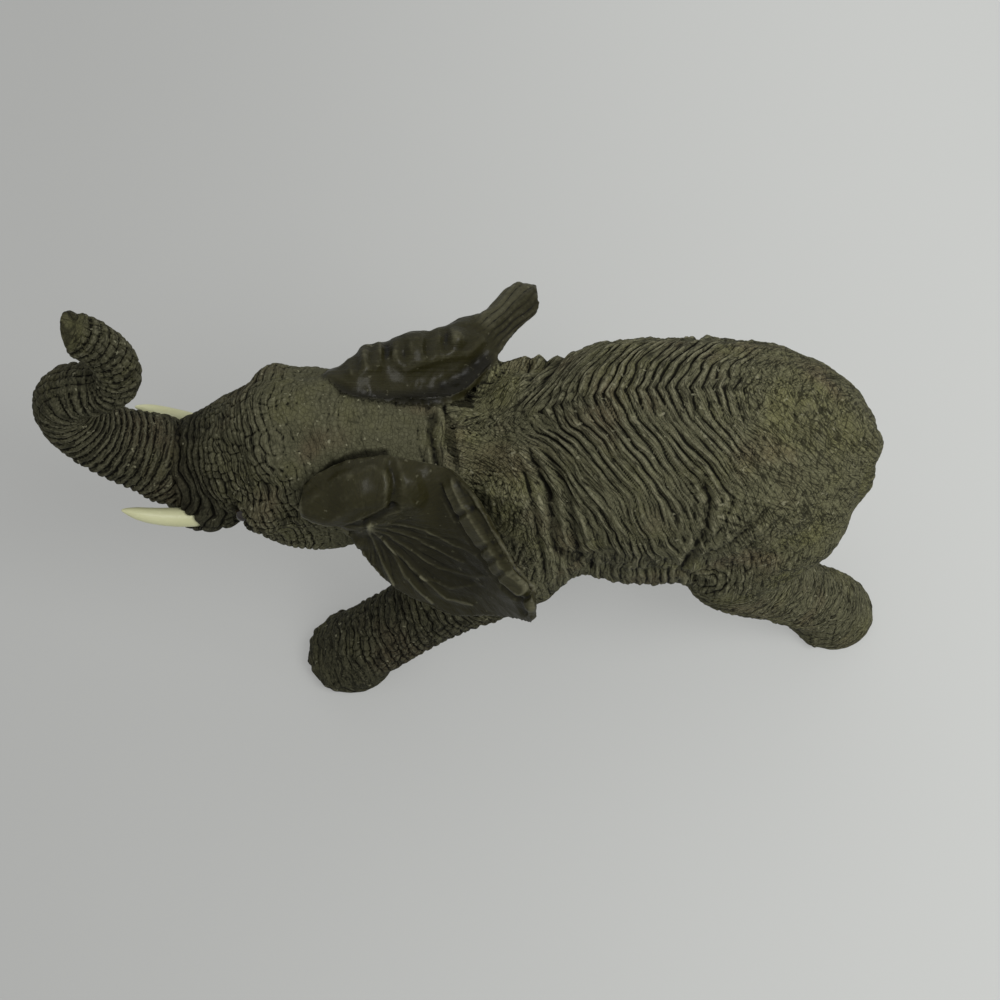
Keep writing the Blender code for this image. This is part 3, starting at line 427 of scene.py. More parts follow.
def oval(places, middle, wide, tall):
    """1 in the middle of an upright oval, 0 outside it."""
    return blob((places - np.array(middle, float)) / (wide, tall), (0.0, 0.0), 1.0)


def nearest_nodes(mesh):
    """For each point of the mesh, a row that is 1 for the solid nearest to it."""
    verts, faces, owners = [], [], []
    for number, name in enumerate(SKIN_NODES):
        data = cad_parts[name].data
        start = len(verts)
        verts += [vert.co.copy() for vert in data.vertices]
        faces += [[start + index for index in face.vertices] for face in data.polygons]
        owners += [number] * len(data.polygons)
    tree = BVHTree.FromPolygons(verts, faces)
    owner = np.array([owners[tree.find_nearest(vert.co)[2]] for vert in mesh.vertices])
    return np.eye(len(SKIN_NODES))[owner]


def melted_skin(sizes):
    """One closed skin over all the solids, its faces numbered by the solid that they cover."""
    made = new_object("skin", merged_solids(SKIN_NODES, sizes.closing))
    apply_modifier(made, "REMESH", mode="VOXEL", voxel_size=2.0 * sizes.skin_edge)
    bm = bmesh.new()
    bm.from_mesh(made.data)
    keep_outer_shell(bm)
    bm.to_mesh(made.data)
    bm.free()
    mesh = made.data
    around = Neighbours(mesh)
    points = read(mesh, "vertices", "co", 3).astype(float)
    owners = nearest_nodes(mesh)
    strength = np.ones(len(points))
    thin = sum(owners[:, SKIN_NODES.index(name)] for name in THIN_NODES)
    strength -= THIN_RELIEF * around.softened(thin, 4)
    points = around.faired(points, strength, FAIRING_STEPS)
    shares = around.softened(owners, SHARE_STEPS)
    # The seams between the solids are smoothed until no step is left, but not where an ear stands free
    seam = smoothstep(0.02, 0.30, 1.0 - shares.max(axis=1))
    seam *= 1.0 - np.clip(3.0 * around.softened(thin, SHARE_STEPS), 0.0, 1.0)
    points += seam[:, None] * (around.softened(points, SEAM_STEPS) - points)
    mesh.vertices.foreach_set("co", points.astype(np.float32).ravel())
    mesh.update()
    points -= sizes.closing * read(mesh, "vertices", "normal", 3)
    mesh.vertices.foreach_set("co", points.astype(np.float32).ravel())
    for number, name in enumerate(SKIN_NODES):
        attribute = mesh.attributes.new("near_" + name, "FLOAT", "POINT")
        attribute.data.foreach_set("value", shares[:, number].astype(np.float32))
    corners = read(mesh, "polygons", "vertices", 4, np.int32)
    covered = shares[corners].sum(axis=1).argmax(axis=1)
    for name in SKIN_NODES:
        mesh.materials.append(bpy.data.materials.get(name) or bpy.data.materials.new(name))
    mesh.polygons.foreach_set("material_index", covered.astype(np.int32))
    mesh.update()
    apply_modifier(made, "SUBSURF", levels=1, render_levels=1, use_limit_surface=False)
    return made


class Sculpture:
    """The fine skin as arrays: the relief that all folds add up to, and what the paint reads."""

    def __init__(self, made, sizes):
        mesh = made.data
        self.mesh = mesh
        self.sizes = sizes
        self.points = MM * read(mesh, "vertices", "co", 3).astype(float) - (0.0, MIDDLE_Y, 0.0)
        self.normals = read(mesh, "vertices", "normal", 3).astype(float)
        self.near = {}
        for name in SKIN_NODES:
            self.near[name] = read(mesh.attributes["near_" + name], "data", "value", 1).astype(float)
        # shade holds the paint's tone with painted light and shade: above 0 lighter paint or a painted
        # highlight, below 0 darker paint or painted shade
        self.relief, self.shade, self.moss, self.hatch = np.zeros((4, len(self.points)))
        self.flow = self.points.copy()
        self.x, self.y, self.z = self.points.T
        self.pixels = photo_pixels(self.points)
        self.near_pixels = photo_pixels(near_side(self.points))

    def masked(self, mask, pattern):
        """Adds the mask times pattern(chosen points), in millimetres, where the mask is felt."""
        chosen = np.flatnonzero(mask > 0.01)
        if len(chosen):
            self.relief[chosen] += mask[chosen] * pattern(chosen)

    def share(self, *names):
        """How far each point belongs to the named solids."""
        return np.clip(sum(self.near[name] for name in names), 0.0, 1.0)


# How far back a fold has run once it has turned down the flank by so many quarter circles
FOLD_TURNS = (0.0, 0.17, 0.35, 0.57, 0.85, 1.10, 1.60)
FOLD_SWEEPS = (0.0, 2.5, 7.8, 14.0, 18.5, 21.5, 23.0)
FLANK_GIRTH = 36.0


def torso_places(points):
    """Turn from the spine in quarter circles, where each point's fold leaves the spine, and the side."""
    turn = np.arctan2(np.abs(points[:, 1]), points[:, 2] - 0.72 * BACK_Z) / (math.pi / 2.0)
    origin = points[:, 0] - np.interp(turn, FOLD_TURNS, FOLD_SWEEPS)
    return turn, origin, 2.0 * np.tanh(points[:, 1] / 8.0)


def torso_flow(points):
    """Places across and along the folds of the body, and the side, all in millimetres."""
    turn, origin, side = torso_places(points)
    place = origin + 0.9 * grain(points, 10.0, 3) + 0.35 * smoothstep(0.1, 0.3, turn) * grain(points, 3.6, 8)
    return place, turn * FLANK_GIRTH, side


def back_folds(work, chosen):
    """Folds that start at the spine and sweep back down both flanks, and the streaks in them."""
    points = work.points[chosen]
    place, girth, side = torso_flow(points)
    flank = smoothstep(9.0, 25.0, girth)
    wander = grain(np.stack([place / 5.0, girth / 16.0, side], axis=1), 1.0, 5)
    phase = place / (MM * work.sizes.back_fold_spacing) + 0.45 * wander
    patches = grain(np.stack([place / 3.0, girth / 9.0, side], axis=1), 1.0, 31)
    held = 0.35 + 0.65 * smoothstep(-0.6, 0.3, patches)
    narrow = rolls(phase, 0.9) * held
    deep = creases(place / 2.3, girth / 16.0, side, 0.50, 17)
    fine = creases(place / 0.95, girth / 8.0, side, 0.60, 23)
    drape = grain(np.stack([place / 4.5, girth / 24.0, side], axis=1), 1.0, 29)
    relief = (0.90 - 0.62 * flank) * narrow + 0.75 * flank * deep + 0.50 * fine
    return MM * work.sizes.back_fold_depth * relief + 0.55 * flank * drape


def skin_network(work, chosen, spacing, seed):
    """Long thin cracks that cross each other, with grainy fields between them."""
    points = work.points[chosen]
    turn, _, side = torso_places(points)
    girth = turn * FLANK_GIRTH
    total = 0.5 * grain(points, 0.8, seed + 7)
    for number, lean in enumerate((0.95, -0.60, 0.20)):
        across = points[:, 0] * math.cos(lean) + girth * math.sin(lean)
        along = girth * math.cos(lean) - points[:, 0] * math.sin(lean)
        total += creases(across / spacing, along / (6.0 * spacing), side, 0.42, seed + number)
    return total


def leg_places(work, name, chosen):
    """Distance down a leg and turn round it in full circles."""
    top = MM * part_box(name)[1].z
    points = work.points[chosen]
    member = work.near[name] > 0.6
    levels = np.linspace(0.0, top, 14)
    middles = []
    for level in levels:
        band = member & (np.abs(work.z - level) < 3.5)
        middles.append(work.points[band].mean(axis=0) if band.any() else middles[-1])
    middles = np.array(middles)
    centre_x = np.interp(points[:, 2], levels, middles[:, 0])
    centre_y = np.interp(points[:, 2], levels, middles[:, 1])
    slope = (middles[-1, 0] - middles[0, 0]) / top
    down = points[:, 2] + slope * (points[:, 0] - centre_x)
    turn = np.arctan2(points[:, 1] - centre_y, points[:, 0] - centre_x) / math.tau
    return down, turn


# Folds of the near flank in the photograph's pixels: behind the shoulder, round the thigh and in the knot
# under it. Each has its depth in millimetres and its width in pixels
FLANK_FOLD_PIXELS = (
    (((522, 418), (531, 455), (549, 493), (553, 527), (557, 552), (578, 562)), 0.95, 5.5),
    (((538, 440), (556, 468), (568, 496), (573, 526), (577, 552), (592, 566)), 0.65, 5.0),
    (((512, 412), (516, 450), (530, 490), (536, 530), (546, 575)), 0.45, 4.5),
    (((704, 478), (710, 500), (707, 530), (694, 552), (682, 566)), 0.75, 5.0),
    (((768, 512), (744, 536), (716, 553), (688, 563)), 0.55, 4.5),
    (((736, 496), (724, 526), (704, 549), (686, 562)), 0.35, 4.0),
    (((676, 566), (694, 576), (712, 592)), 0.60, 5.0),
)
SWIRL_PIXELS = (475.0, 415.0)
THIGH_PIXELS = (684.0, 570.0)
KNOT_PIXELS = (707.0, 582.0)
# Millimetres of the figure in one pixel of the photograph
PIXEL_SIZE = 0.21


def sculpt_torso(work):
    """Back, flanks, shoulders, haunch and belly."""
    torso = work.share("torso_left_half", "torso_right_half")
    legs = work.share(*LEG_NODES)
    x, z = work.x, work.z
    body = np.clip(torso + legs * smoothstep(34.0, 46.0, z), 0.0, 1.0)
    places = work.near_pixels
    haunch = smoothstep(690.0, 790.0, places[:, 0] + 12.0 * grain(work.points, 9.0, 37))
    front = smoothstep(505.0, 545.0, places[:, 0] - 0.10 * (places[:, 1] - 420.0))
    upper = smoothstep(0.34 * BACK_Z, 0.48 * BACK_Z, z)
    near_fold = np.zeros(len(x))
    for line, _, width in FLANK_FOLD_PIXELS:
        near_fold = np.maximum(near_fold, ribbon(places, line, width, 2.5 * width))
    folded = body * front * (1.0 - 0.85 * haunch) * upper * (1.0 - 0.3 * near_fold)
    work.masked(folded, lambda c: back_folds(work, c))
    work.masked(body * (0.15 + 0.85 * haunch), lambda c: 0.09 * skin_network(work, c, 1.5, 41))
    behind = body * smoothstep(NECK_X + 35.0, NECK_X + 65.0, x)
    work.masked(behind, lambda c: 0.42 * rough(work.points[c], 6.5, 71, 1))
    work.masked(body, lambda c: 0.12 * rough(work.points[c], 2.6, 77, 2))
    sculpt_shoulder(work, body * (1.0 - front) * smoothstep(0.35 * BACK_Z, 0.55 * BACK_Z, z))
    sculpt_flank_folds(work, body)
    # Tone and painted light: the haunch lighter, partly its paint and partly a painted highlight of the light
    # from the right; painted shade low on the flanks and belly; the body in front of the haunch painted
    # darker
    work.shade += 0.14 * haunch * body - 0.10 * (1.0 - upper) * torso - 0.30 * (1.0 - haunch) * front * body
    light = body * oval(places, (490.0, 470.0), 52.0, 75.0)
    work.shade += 0.22 * light
    work.moss += 0.7 * light + 0.30 * haunch * body
    work.hatch += body * (0.35 + 0.65 * haunch + 0.45 * (1.0 - front))
    chosen = np.flatnonzero(body > 0.3)
    work.flow[chosen] = np.stack(torso_flow(work.points[chosen]), axis=1)


def sculpt_shoulder(work, mask):
    """Fine folds that swirl round a place behind the neck and run down the shoulder."""
    chosen = np.flatnonzero(mask > 0.01)
    points = work.points[chosen]
    beside = (work.near_pixels[chosen] - SWIRL_PIXELS) * (1.0, 0.8) * PIXEL_SIZE
    ring = np.linalg.norm(beside, axis=1)
    _, origin, side = torso_places(points)
    away = smoothstep(5.0, 13.0, ring)
    wave = 1.3 * grain(points, 6.0, 61) + 0.4 * grain(points, 2.5, 62)
    across = ring + away * (0.55 * origin - 0.45 * ring) + wave
    along = (1.0 - away) * 4.0 * np.arctan2(beside[:, 1], beside[:, 0]) + away * points[:, 1]
    relief = 0.07 * rolls(across / 1.5, 0.7) + 0.22 * creases(across / 1.1, along / 6.0, side, 0.55, 64)
    relief += 0.12 * creases(across / 1.6 + 0.5 * along, along / 1.3, side, 0.40, 66)
    relief += 0.10 * grain(points, 1.1, 65)
    work.relief[chosen] += mask[chosen] * smoothstep(NECK_X + 0.5, NECK_X + 3.5, points[:, 0]) * relief


def sculpt_flank_folds(work, body):
    """The deep folds behind the shoulder, round the thigh and in the knot under it."""
    side = body * smoothstep(5.0, 10.0, np.abs(work.y))
    chosen = np.flatnonzero(side > 0.01)
    places = work.near_pixels[chosen]
    wave = 2.5 * grain(work.points[chosen], 5.0, 75) + grain(work.points[chosen], 2.0, 76)
    relief = np.zeros(len(chosen))
    for line, depth, width in FLANK_FOLD_PIXELS:
        gap, along = distance_to_line(places, line)
        ends = smoothstep(0.0, 14.0, along + 6.0)
        relief -= 0.80 * depth * ends * (1.0 - smoothstep(0.0, width, gap + 0.6 * wave))
        relief += 0.40 * depth * ends * bump(width + 4.0, width, gap + wave)
    thigh = np.linalg.norm(places - THIGH_PIXELS, axis=1)
    bearing = np.arctan2(places[:, 1] - THIGH_PIXELS[1], places[:, 0] - THIGH_PIXELS[0])
    fan = bump(75.0, 62.0, thigh) * smoothstep(THIGH_PIXELS[0] - 6.0, THIGH_PIXELS[0] + 16.0, places[:, 0])
    relief += 0.30 * fan * creases(thigh * PIXEL_SIZE / 1.8, 4.0 * bearing, 0.0 * thigh, 0.50, 81)
    relief += 0.30 * fan * grain(np.stack([thigh / 16.0, 2.0 * bearing, 0.0 * thigh], axis=1), 1.0, 83)
    knot = np.linalg.norm((places - KNOT_PIXELS) * (0.8, 1.2), axis=1)
    relief += 0.30 * (1.0 - smoothstep(12.0, 28.0, knot)) * rolls((knot + 1.5 * wave) / 7.5, 0.7)
    work.relief[chosen] += side[chosen] * relief
    # Painted shade in the deep folds and a painted highlight on their crests
    work.shade[chosen] += side[chosen] * np.clip(0.7 * relief, -0.25, 0.10)


def sculpt_legs(work):
    """Rings and bead-like scales of the legs, and their toenails."""
    for name in LEG_NODES:
        mask = work.near[name] * (1.0 - smoothstep(36.0, 47.0, work.z))
        chosen = np.flatnonzero(mask > 0.01)
        points = work.points[chosen]
        down, turn = leg_places(work, name, chosen)
        warp = 0.8 * grain(points, 5.0, 91) + 0.3 * grain(points, 2.0, 92)
        row = (down + warp) / 1.8
        rings = rolls(row, 0.65)
        beads = rolls(turn * 22.0 + 0.8 * grain(points, 4.0, 93) + 0.5 * np.floor(row), 0.55)
        high = smoothstep(6.0, 15.0, points[:, 2])
        front = 1.0 if name.startswith("front") else 0.55
        relief = front * (0.36 * rings + 0.22 * beads) * (0.35 + 0.65 * high)
        relief += 0.12 * skin_network(work, chosen, 1.2, 97) * (1.3 - front)
        relief += 0.26 * rough(points, 4.0, 95, 2)
        toes = (1.0 - smoothstep(4.5, 6.0, points[:, 2])) * smoothstep(0.55, 0.65, 2.0 * np.abs(turn))
        relief += toes * (0.35 + 0.55 * cracks(turn * 9.0, 0.18))
        sole = smoothstep(0.3, 1.6, points[:, 2])
        work.relief[chosen] += mask[chosen] * relief * sole
        member = mask[chosen] > 0.5
        work.flow[chosen[member]] = np.stack([down + warp, 50.0 * turn, 0.0 * turn], axis=1)[member]
        work.hatch[chosen] += 0.5 * mask[chosen]
        # The legs are painted darker, the front legs much darker as a painted shadow over them
        work.shade[chosen] -= mask[chosen] * (0.62 if front == 1.0 else 0.14)


def sculpt_head(work):
    """Arcs that spread over the face from the trunk's root, crossed by lengthwise cracks, and the brows."""
    head = work.share("head", "lower_jaw")
    root = np.array([HEAD_X - 3.0, 0.0, 58.0])
    apart = np.linalg.norm(work.points - root, axis=1)
    face = head * (1.0 - smoothstep(13.0, 24.0, apart))
    grid = head * smoothstep(9.0, 15.0, apart) * (1.0 - smoothstep(32.0, 43.0, apart))
    turn = np.arctan2(work.y, work.z - 56.0)
    arc = (apart + 0.8 * grain(work.points, 6.0, 101) + 0.35 * grain(work.points, 2.2, 102)) / 1.55
    held = 0.45 + 0.55 * smoothstep(-0.4, 0.1, grain(work.points, 2.6, 104))
    work.masked(face, lambda c: 0.42 * rolls(arc[c], 0.6))
    work.masked(grid * held, lambda c: 0.48 * cracks(arc[c], 0.25))
    work.masked(grid * held * smoothstep(12.0, 22.0, apart), lambda c: 0.42 * cracks(
        (14.0 * turn[c] + 1.2 * grain(work.points[c], 5.0, 103)) / 1.6 + 0.37 * np.floor(0.5 * arc[c]), 0.20))
    work.masked(head, lambda c: 0.10 * rough(work.points[c], 1.8, 105, 2))
    crown = head * smoothstep(28.0, 38.0, apart)
    chosen = np.flatnonzero(head > 0.5)
    work.flow[chosen] = np.stack([1.55 * arc, 14.0 * turn, 0.0 * turn], axis=1)[chosen]
    work.hatch += 0.40 * head - 0.9 * crown
    work.shade -= 0.45 * head
    work.masked(crown, lambda c: 0.14 * creases(
        work.x[c] / 1.7, work.y[c] / 3.2, work.z[c] / 6.0, 0.40, 107))
    work.masked(crown, lambda c: 0.10 * creases(
        work.x[c] / 3.4, work.y[c] / 1.8, work.z[c] / 6.0, 0.36, 108))
    folded = near_side(work.points)
    for middle, radius, height in (
        ((NECK_X - 35.0, -10.0, 80.5), 6.5, 1.5), ((NECK_X - 27.5, -9.0, 83.0), 6.0, -1.3),
        ((NECK_X - 43.0, -9.0, 78.0), 6.5, -1.8), ((NECK_X - 44.0, -14.0, 58.0), 7.0, -0.8),
    ):
        work.relief += height * head * blob(folded, middle, radius)
    gap = distance_to_line(work.near_pixels, FLAP_CREASE_PIXELS)[0] + 1.5 * grain(work.points, 3.0, 109)
    crease = head * (work.z > 70.0) * (1.0 - smoothstep(1.5, 9.0, gap))
    work.relief -= 0.55 * crease
    # Painted shadow of the ear's flap along the crease, and the face round the trunk's root painted darker
    work.shade -= 0.55 * crease + 0.35 * face
    sculpt_eyelids(work, head)
    sculpt_neck(work)


def sculpt_eyelids(work, head):
    """A socket with two lids and fine wrinkles round each eye, and the dark line of the mouth."""
    beside = np.stack([work.x - EYE_X, work.z - EYE_Z], axis=1) * (0.8, 1.1)
    gap = np.linalg.norm(beside, axis=1)
    cheek = head * smoothstep(6.0, 9.0, np.abs(work.y))
    lids = 0.55 * bump(2.3, 0.9, gap) + 0.22 * bump(4.0, 0.8, gap + 0.4 * grain(work.points, 2.0, 113))
    work.relief += cheek * (lids - 0.55 * (1.0 - smoothstep(0.6, 1.8, gap)))
    # Painted shade in each eye's socket
    work.shade -= 0.5 * cheek * (1.0 - smoothstep(1.2, 3.0, gap))
    mouth = 4.0 * work.near["lower_jaw"] * work.near["head"]
    work.relief -= 0.55 * mouth
    work.shade -= 0.9 * mouth


def sculpt_neck(work):
    """A raised cord between two grooves painted dark as shade where head and body meet, and finer folds
    before it.
    """
    neck = work.share("head", "torso_left_half", "torso_right_half") * smoothstep(56.0, 66.0, work.z)
    place = work.x - NECK_X + 1.3 * grain(work.points, 8.0, 111) + 0.5 * grain(work.points, 3.0, 112)
    place += 0.20 * work.y
    held = 0.5 + 0.5 * smoothstep(-0.5, 0.2, grain(work.points, 5.0, 114))
    grooves = 0.65 * bump(-2.9, 1.3, place) + 0.60 * bump(0.6, 1.3, place)
    grooves += 0.30 * held * bump(-6.0, 0.9, place)
    work.relief += neck * (0.55 * bump(-1.2, 1.4, place) - grooves)
    # Painted shade in the neck's grooves
    work.shade -= 0.6 * neck * grooves * held


def sculpt_trunk(work):
    """Rolls round the trunk, lengthwise grooves on its hollow side and a grid of cracks near its tip."""
    line, radii, walked = trunk_line(work.sizes)
    mask = work.near["trunk"]
    chosen = np.flatnonzero(mask > 0.01)
    points = work.points[chosen]
    gaps = (points[:, None, 0] - line[None, :, 0]) ** 2 + (points[:, None, 2] - line[None, :, 1]) ** 2
    nearest = gaps.argmin(axis=1)
    along = walked[nearest]
    tangent = np.gradient(line, axis=0)
    tangent /= np.linalg.norm(tangent, axis=1)[:, None]
    tangent = tangent[nearest]
    beside = points[:, [0, 2]] - line[nearest]
    # The hollow side faces down at the root and turns with the trunk
    hollow = beside[:, 0] * -tangent[:, 1] + beside[:, 1] * tangent[:, 0]
    across = points[:, 1]
    radius = np.hypot(np.hypot(beside[:, 0], beside[:, 1]), across)
    turn = np.arctan2(across, hollow)
    length = walked[-1]
    ventral = smoothstep(0.35, 0.85, np.cos(turn))
    wanted = radii[nearest] * (1.0 - 0.07 * ventral)
    inner = smoothstep(1.5, 5.0, along) * (1.0 - smoothstep(length - 3.5, length - 1.2, along))
    push = (wanted - radius) * inner * mask[chosen]
    outward = np.stack([beside[:, 0], across, beside[:, 1]], axis=1) / np.maximum(radius, 0.1)[:, None]
    work.points[chosen] += outward * push[:, None]
    warp = 0.40 * grain(points, 5.0, 121) + 0.25 * grain(points, 2.0, 122)
    row = (along + warp) / (MM * work.sizes.roll_spacing)
    patches = grain(np.stack([row, 1.5 * turn, 0.0 * row], axis=1), 1.0, 123)
    held = 0.65 + 0.35 * smoothstep(-0.5, 0.1, patches)
    ring = rolls(row, 0.55) * held
    tip = smoothstep(0.62 * length, 0.72 * length, along)
    grid = cracks(turn * 2.1 + 0.4 * grain(points, 3.0, 125) + 0.5 * np.floor(row), 0.20)
    grooves = rolls((across + 0.3 * grain(points, 4.0, 127)) / 1.7, 0.6)
    depth = MM * work.sizes.roll_depth
    relief = 1.60 * depth * ring * (1.0 - 0.60 * ventral) * (1.0 - 0.30 * tip)
    relief += 0.34 * grid * (0.30 + 0.70 * tip) * (1.0 - 0.6 * ventral) + 0.26 * grooves * ventral
    relief += 0.08 * grain(points, 1.0, 129)
    work.relief[chosen] += mask[chosen] * relief * (1.0 - smoothstep(length - 2.0, length - 0.6, along))
    member = mask[chosen] > 0.5
    work.flow[chosen[member]] = np.stack([along + warp, radius * turn, 0.0 * turn], axis=1)[member]
    work.shade[chosen] -= 0.62 * mask[chosen]
    work.moss[chosen] += 0.6 * mask[chosen] * smoothstep(0.93 * length, 0.99 * length, along)


# The crease between the head's top and the left ear's flap, in the photograph's pixels
FLAP_CREASE_PIXELS = ((301, 512), (311, 488), (336, 467), (366, 455), (384, 455))
# Features of the left ear in the photograph's pixels
FLAP_PIXELS = ((318, 512), (346, 493), (373, 484))
LOBE_PIXELS = ((409, 486), (413, 497))
FLAP_END_PIXELS = ((391, 464), (394, 482), (393, 504))
FLAP_HEM_PIXELS = ((395, 508), (378, 518), (352, 529), (330, 537), (308, 532))
RIM_PIXELS = ((445, 476), (455, 494), (465, 512), (476, 530), (487, 549), (500, 570), (522, 588))
RIM_STEP_PIXELS = (
    ((457, 517), (471, 509)), ((481, 549), (495, 541)), ((487, 563), (502, 555)), ((497, 577), (510, 567)),
)
SHEET_PIXELS = ((395, 545), (430, 562), (462, 575))
TIP_TROUGH_PIXELS = ((505, 586), (516, 598), (524, 612))
VEIN_PIXELS = (
    ((368, 527), (390, 553), (423, 580), (450, 590), (478, 587)),
    ((369, 527), (400, 548), (436, 572), (470, 579), (500, 578)),
    ((367, 528), (377, 555), (394, 584)),
    ((370, 526), (415, 542), (462, 564)),
    ((371, 525), (425, 532), (474, 556)),
    ((383, 543), (405, 577), (432, 603)),
    ((420, 578), (446, 600), (472, 606)),
)
# Features of the right ear: the dents and the knob of its rolled edge, its ledge, the trough inside it and
# the middle of its tip
DENT_PIXELS = ((357, 362), (372, 354), (387, 351), (404, 350), (428, 345), (446, 340))
KNOB_PIXELS = (459, 338)
LEDGE_PIXELS = ((405, 368), (438, 358), (468, 352), (482, 340))
TROUGH_PIXELS = ((322, 388), (350, 397), (395, 401), (436, 395), (462, 382), (484, 362))
TONGUE_PIXELS = ((470, 350), (490, 335), (512, 312), (535, 292))


def ear_facing(work, name):
    """The points of an ear, and how far each faces the camera: 1 on its near face and -1 on its far face."""
    chosen = np.flatnonzero(work.near[name] > 0.01)
    facing = work.normals[chosen] @ np.array(TO_CAMERA)
    return chosen, work.near[name][chosen] * np.clip(3.0 * facing, -1.0, 1.0)


def sculpt_left_ear(work):
    """The folded flap and lobe, the thick notched rim, the veins that fan out and the tip's trough."""
    chosen, facing = ear_facing(work, "left_ear")
    places = work.pixels[chosen]
    wave = 1.2 * grain(work.points[chosen], 4.0, 145)
    # Painted shadow over the concave sheet
    shade = -0.45 * ribbon(places, SHEET_PIXELS, 14.0, 40.0)
    relief = 1.10 * ribbon(places, FLAP_PIXELS, 12.0, 25.0) + 0.95 * ribbon(places, LOBE_PIXELS, 4.0, 19.0)
    relief -= 0.75 * ribbon(places, FLAP_END_PIXELS, 0.5, 9.0)
    relief -= 0.80 * ribbon(places, FLAP_HEM_PIXELS, 1.0, 7.0)
    relief -= 0.90 * ribbon(places, SHEET_PIXELS, 6.0, 44.0)
    # Painted shade in the step at the flap's end and painted shadow under the flap's hem
    shade -= 0.25 * ribbon(places, FLAP_END_PIXELS, 0.5, 8.0)
    shade -= 0.60 * ribbon(places, FLAP_HEM_PIXELS, 1.0, 7.0)
    gap, along = distance_to_line(places, RIM_PIXELS)
    rim = (1.0 - smoothstep(4.5, 8.0, gap)) * smoothstep(0.0, 14.0, along)
    relief += (1.15 + 0.25 * wave) * rim - 0.55 * bump(11.0, 4.0, gap + wave) * smoothstep(10.0, 30.0, along)
    shade += 0.22 * rim
    # Each step of the rim is notched, with painted shade in the notch
    for line in RIM_STEP_PIXELS:
        relief -= 0.50 * ribbon(places, line, 0.3, 6.0)
        shade -= 0.12 * ribbon(places, line, 0.2, 3.5)
    for line in VEIN_PIXELS:
        gap, along = distance_to_line(places, line)
        strength = 1.0 - 0.6 * smoothstep(60.0, 130.0, along)
        vein = 1.0 - smoothstep(0.3, 2.2, gap + 0.5 * wave)
        relief += strength * (0.28 * vein - 0.08 * bump(4.6, 2.8, gap + 0.5 * wave))
        shade += 0.55 * strength * vein
    root = np.array(VEIN_PIXELS[0][0], float)
    beside = places - root
    fan = np.linalg.norm(beside, axis=1)
    spread = ribbon(places, SHEET_PIXELS, 20.0, 48.0) * smoothstep(8.0, 30.0, fan)
    bearing = np.arctan2(beside[:, 1], beside[:, 0])
    relief += 0.22 * spread * creases(9.0 * bearing, fan / 45.0, 0.0 * fan, 0.45, 149)
    flow = np.stack([18.0 * bearing, PIXEL_SIZE * fan, 0.0 * fan], axis=1)
    member = work.near["left_ear"][chosen] > 0.5
    work.flow[chosen[member]] = flow[member]
    trough = ribbon(places, TIP_TROUGH_PIXELS, 1.0, 6.0)
    relief -= 0.8 * trough
    relief += 0.8 * blob(places, (530, 606), 12.0) + 0.7 * blob(places, (360, 544), 9.0)
    work.relief[chosen] += facing * relief
    # The near face takes the tone and painted light, with painted shade in the tip's trough
    work.shade[chosen] += np.maximum(facing, 0.0) * (shade - 0.5 * trough)


def sculpt_right_ear(work):
    """The soft dents of the rolled edge, the ledge, the trough and the long grooves of the tip, with painted
    shade in the dents and trough and painted light on the ledge and tip.
    """
    chosen, facing = ear_facing(work, "right_ear")
    places = work.pixels[chosen]
    relief = 0.45 * ribbon(places, DENT_PIXELS, 8.0, 20.0) + 0.8 * blob(places, KNOB_PIXELS, 13.0)
    shade = np.full(len(chosen), -0.10)
    # Each dent gets painted shade
    for dent in DENT_PIXELS:
        hollow = oval(places, dent, 8.5, 19.0)
        relief -= 0.85 * hollow
        shade -= 0.25 * hollow
    gap, along = distance_to_line(places, LEDGE_PIXELS)
    relief += 0.40 * (1.0 - smoothstep(1.0, 8.0, gap))
    # A painted highlight along the ledge
    shade += 0.25 * (1.0 - smoothstep(1.0, 4.0, gap))
    trough = ribbon(places, TROUGH_PIXELS, 3.0, 15.0)
    relief -= (0.80 + 0.30 * grain(work.points[chosen], 2.2, 151)) * trough
    # Painted shade in the trough
    shade -= 0.75 * trough
    gap, along = distance_to_line(places, TONGUE_PIXELS)
    columns, rows = zip(*TONGUE_PIXELS)
    side = places[:, 1] - np.interp(places[:, 0], columns, rows)
    tongue = smoothstep(14.0, 34.0, along)
    flow = np.stack([PIXEL_SIZE * side, PIXEL_SIZE * along, 0.0 * along], axis=1)
    member = work.near["right_ear"][chosen] > 0.5
    work.flow[chosen[member]] = flow[member]
    relief += tongue * (0.15 * rolls(side / 9.0 + 0.4 * grain(work.points[chosen], 5.0, 147), 0.8))
    # One side of the tip painted lighter as painted light
    shade += tongue * 0.35 * smoothstep(-2.0, -9.0, side)
    work.relief[chosen] += facing * relief
    work.shade[chosen] += np.maximum(facing, 0.0) * shade


def sculpt_ears(work):
    """Broad waves and fine leather of both ears."""
    ears = work.share("left_ear", "right_ear")
    work.masked(ears, lambda c: 0.06 * rough(work.points[c], 1.5, 135, 2))
    for name in ("left_ear", "right_ear"):
        chosen, facing = ear_facing(work, name)
        work.relief[chosen] += 0.38 * facing * rough(work.points[chosen], 8.0, 131, 2)
    sculpt_left_ear(work)
    sculpt_right_ear(work)


def sculpt_tail(work):
    """Strands of the tail's tuft."""
    tail = work.near["tail"]
    tuft = tail * (1.0 - smoothstep(40.0, 46.0, work.z))
    turn = np.arctan2(work.y, work.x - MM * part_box("tail")[1].x + 4.0)
    work.masked(tuft, lambda c: 0.20 * rolls(turn[c] * 2.4 + 0.3 * grain(work.points[c], 4.0, 141), 0.6))
    work.masked(tail * smoothstep(44.0, 50.0, work.z), lambda c: 0.10 * rolls(work.z[c] / 1.4, 0.7))


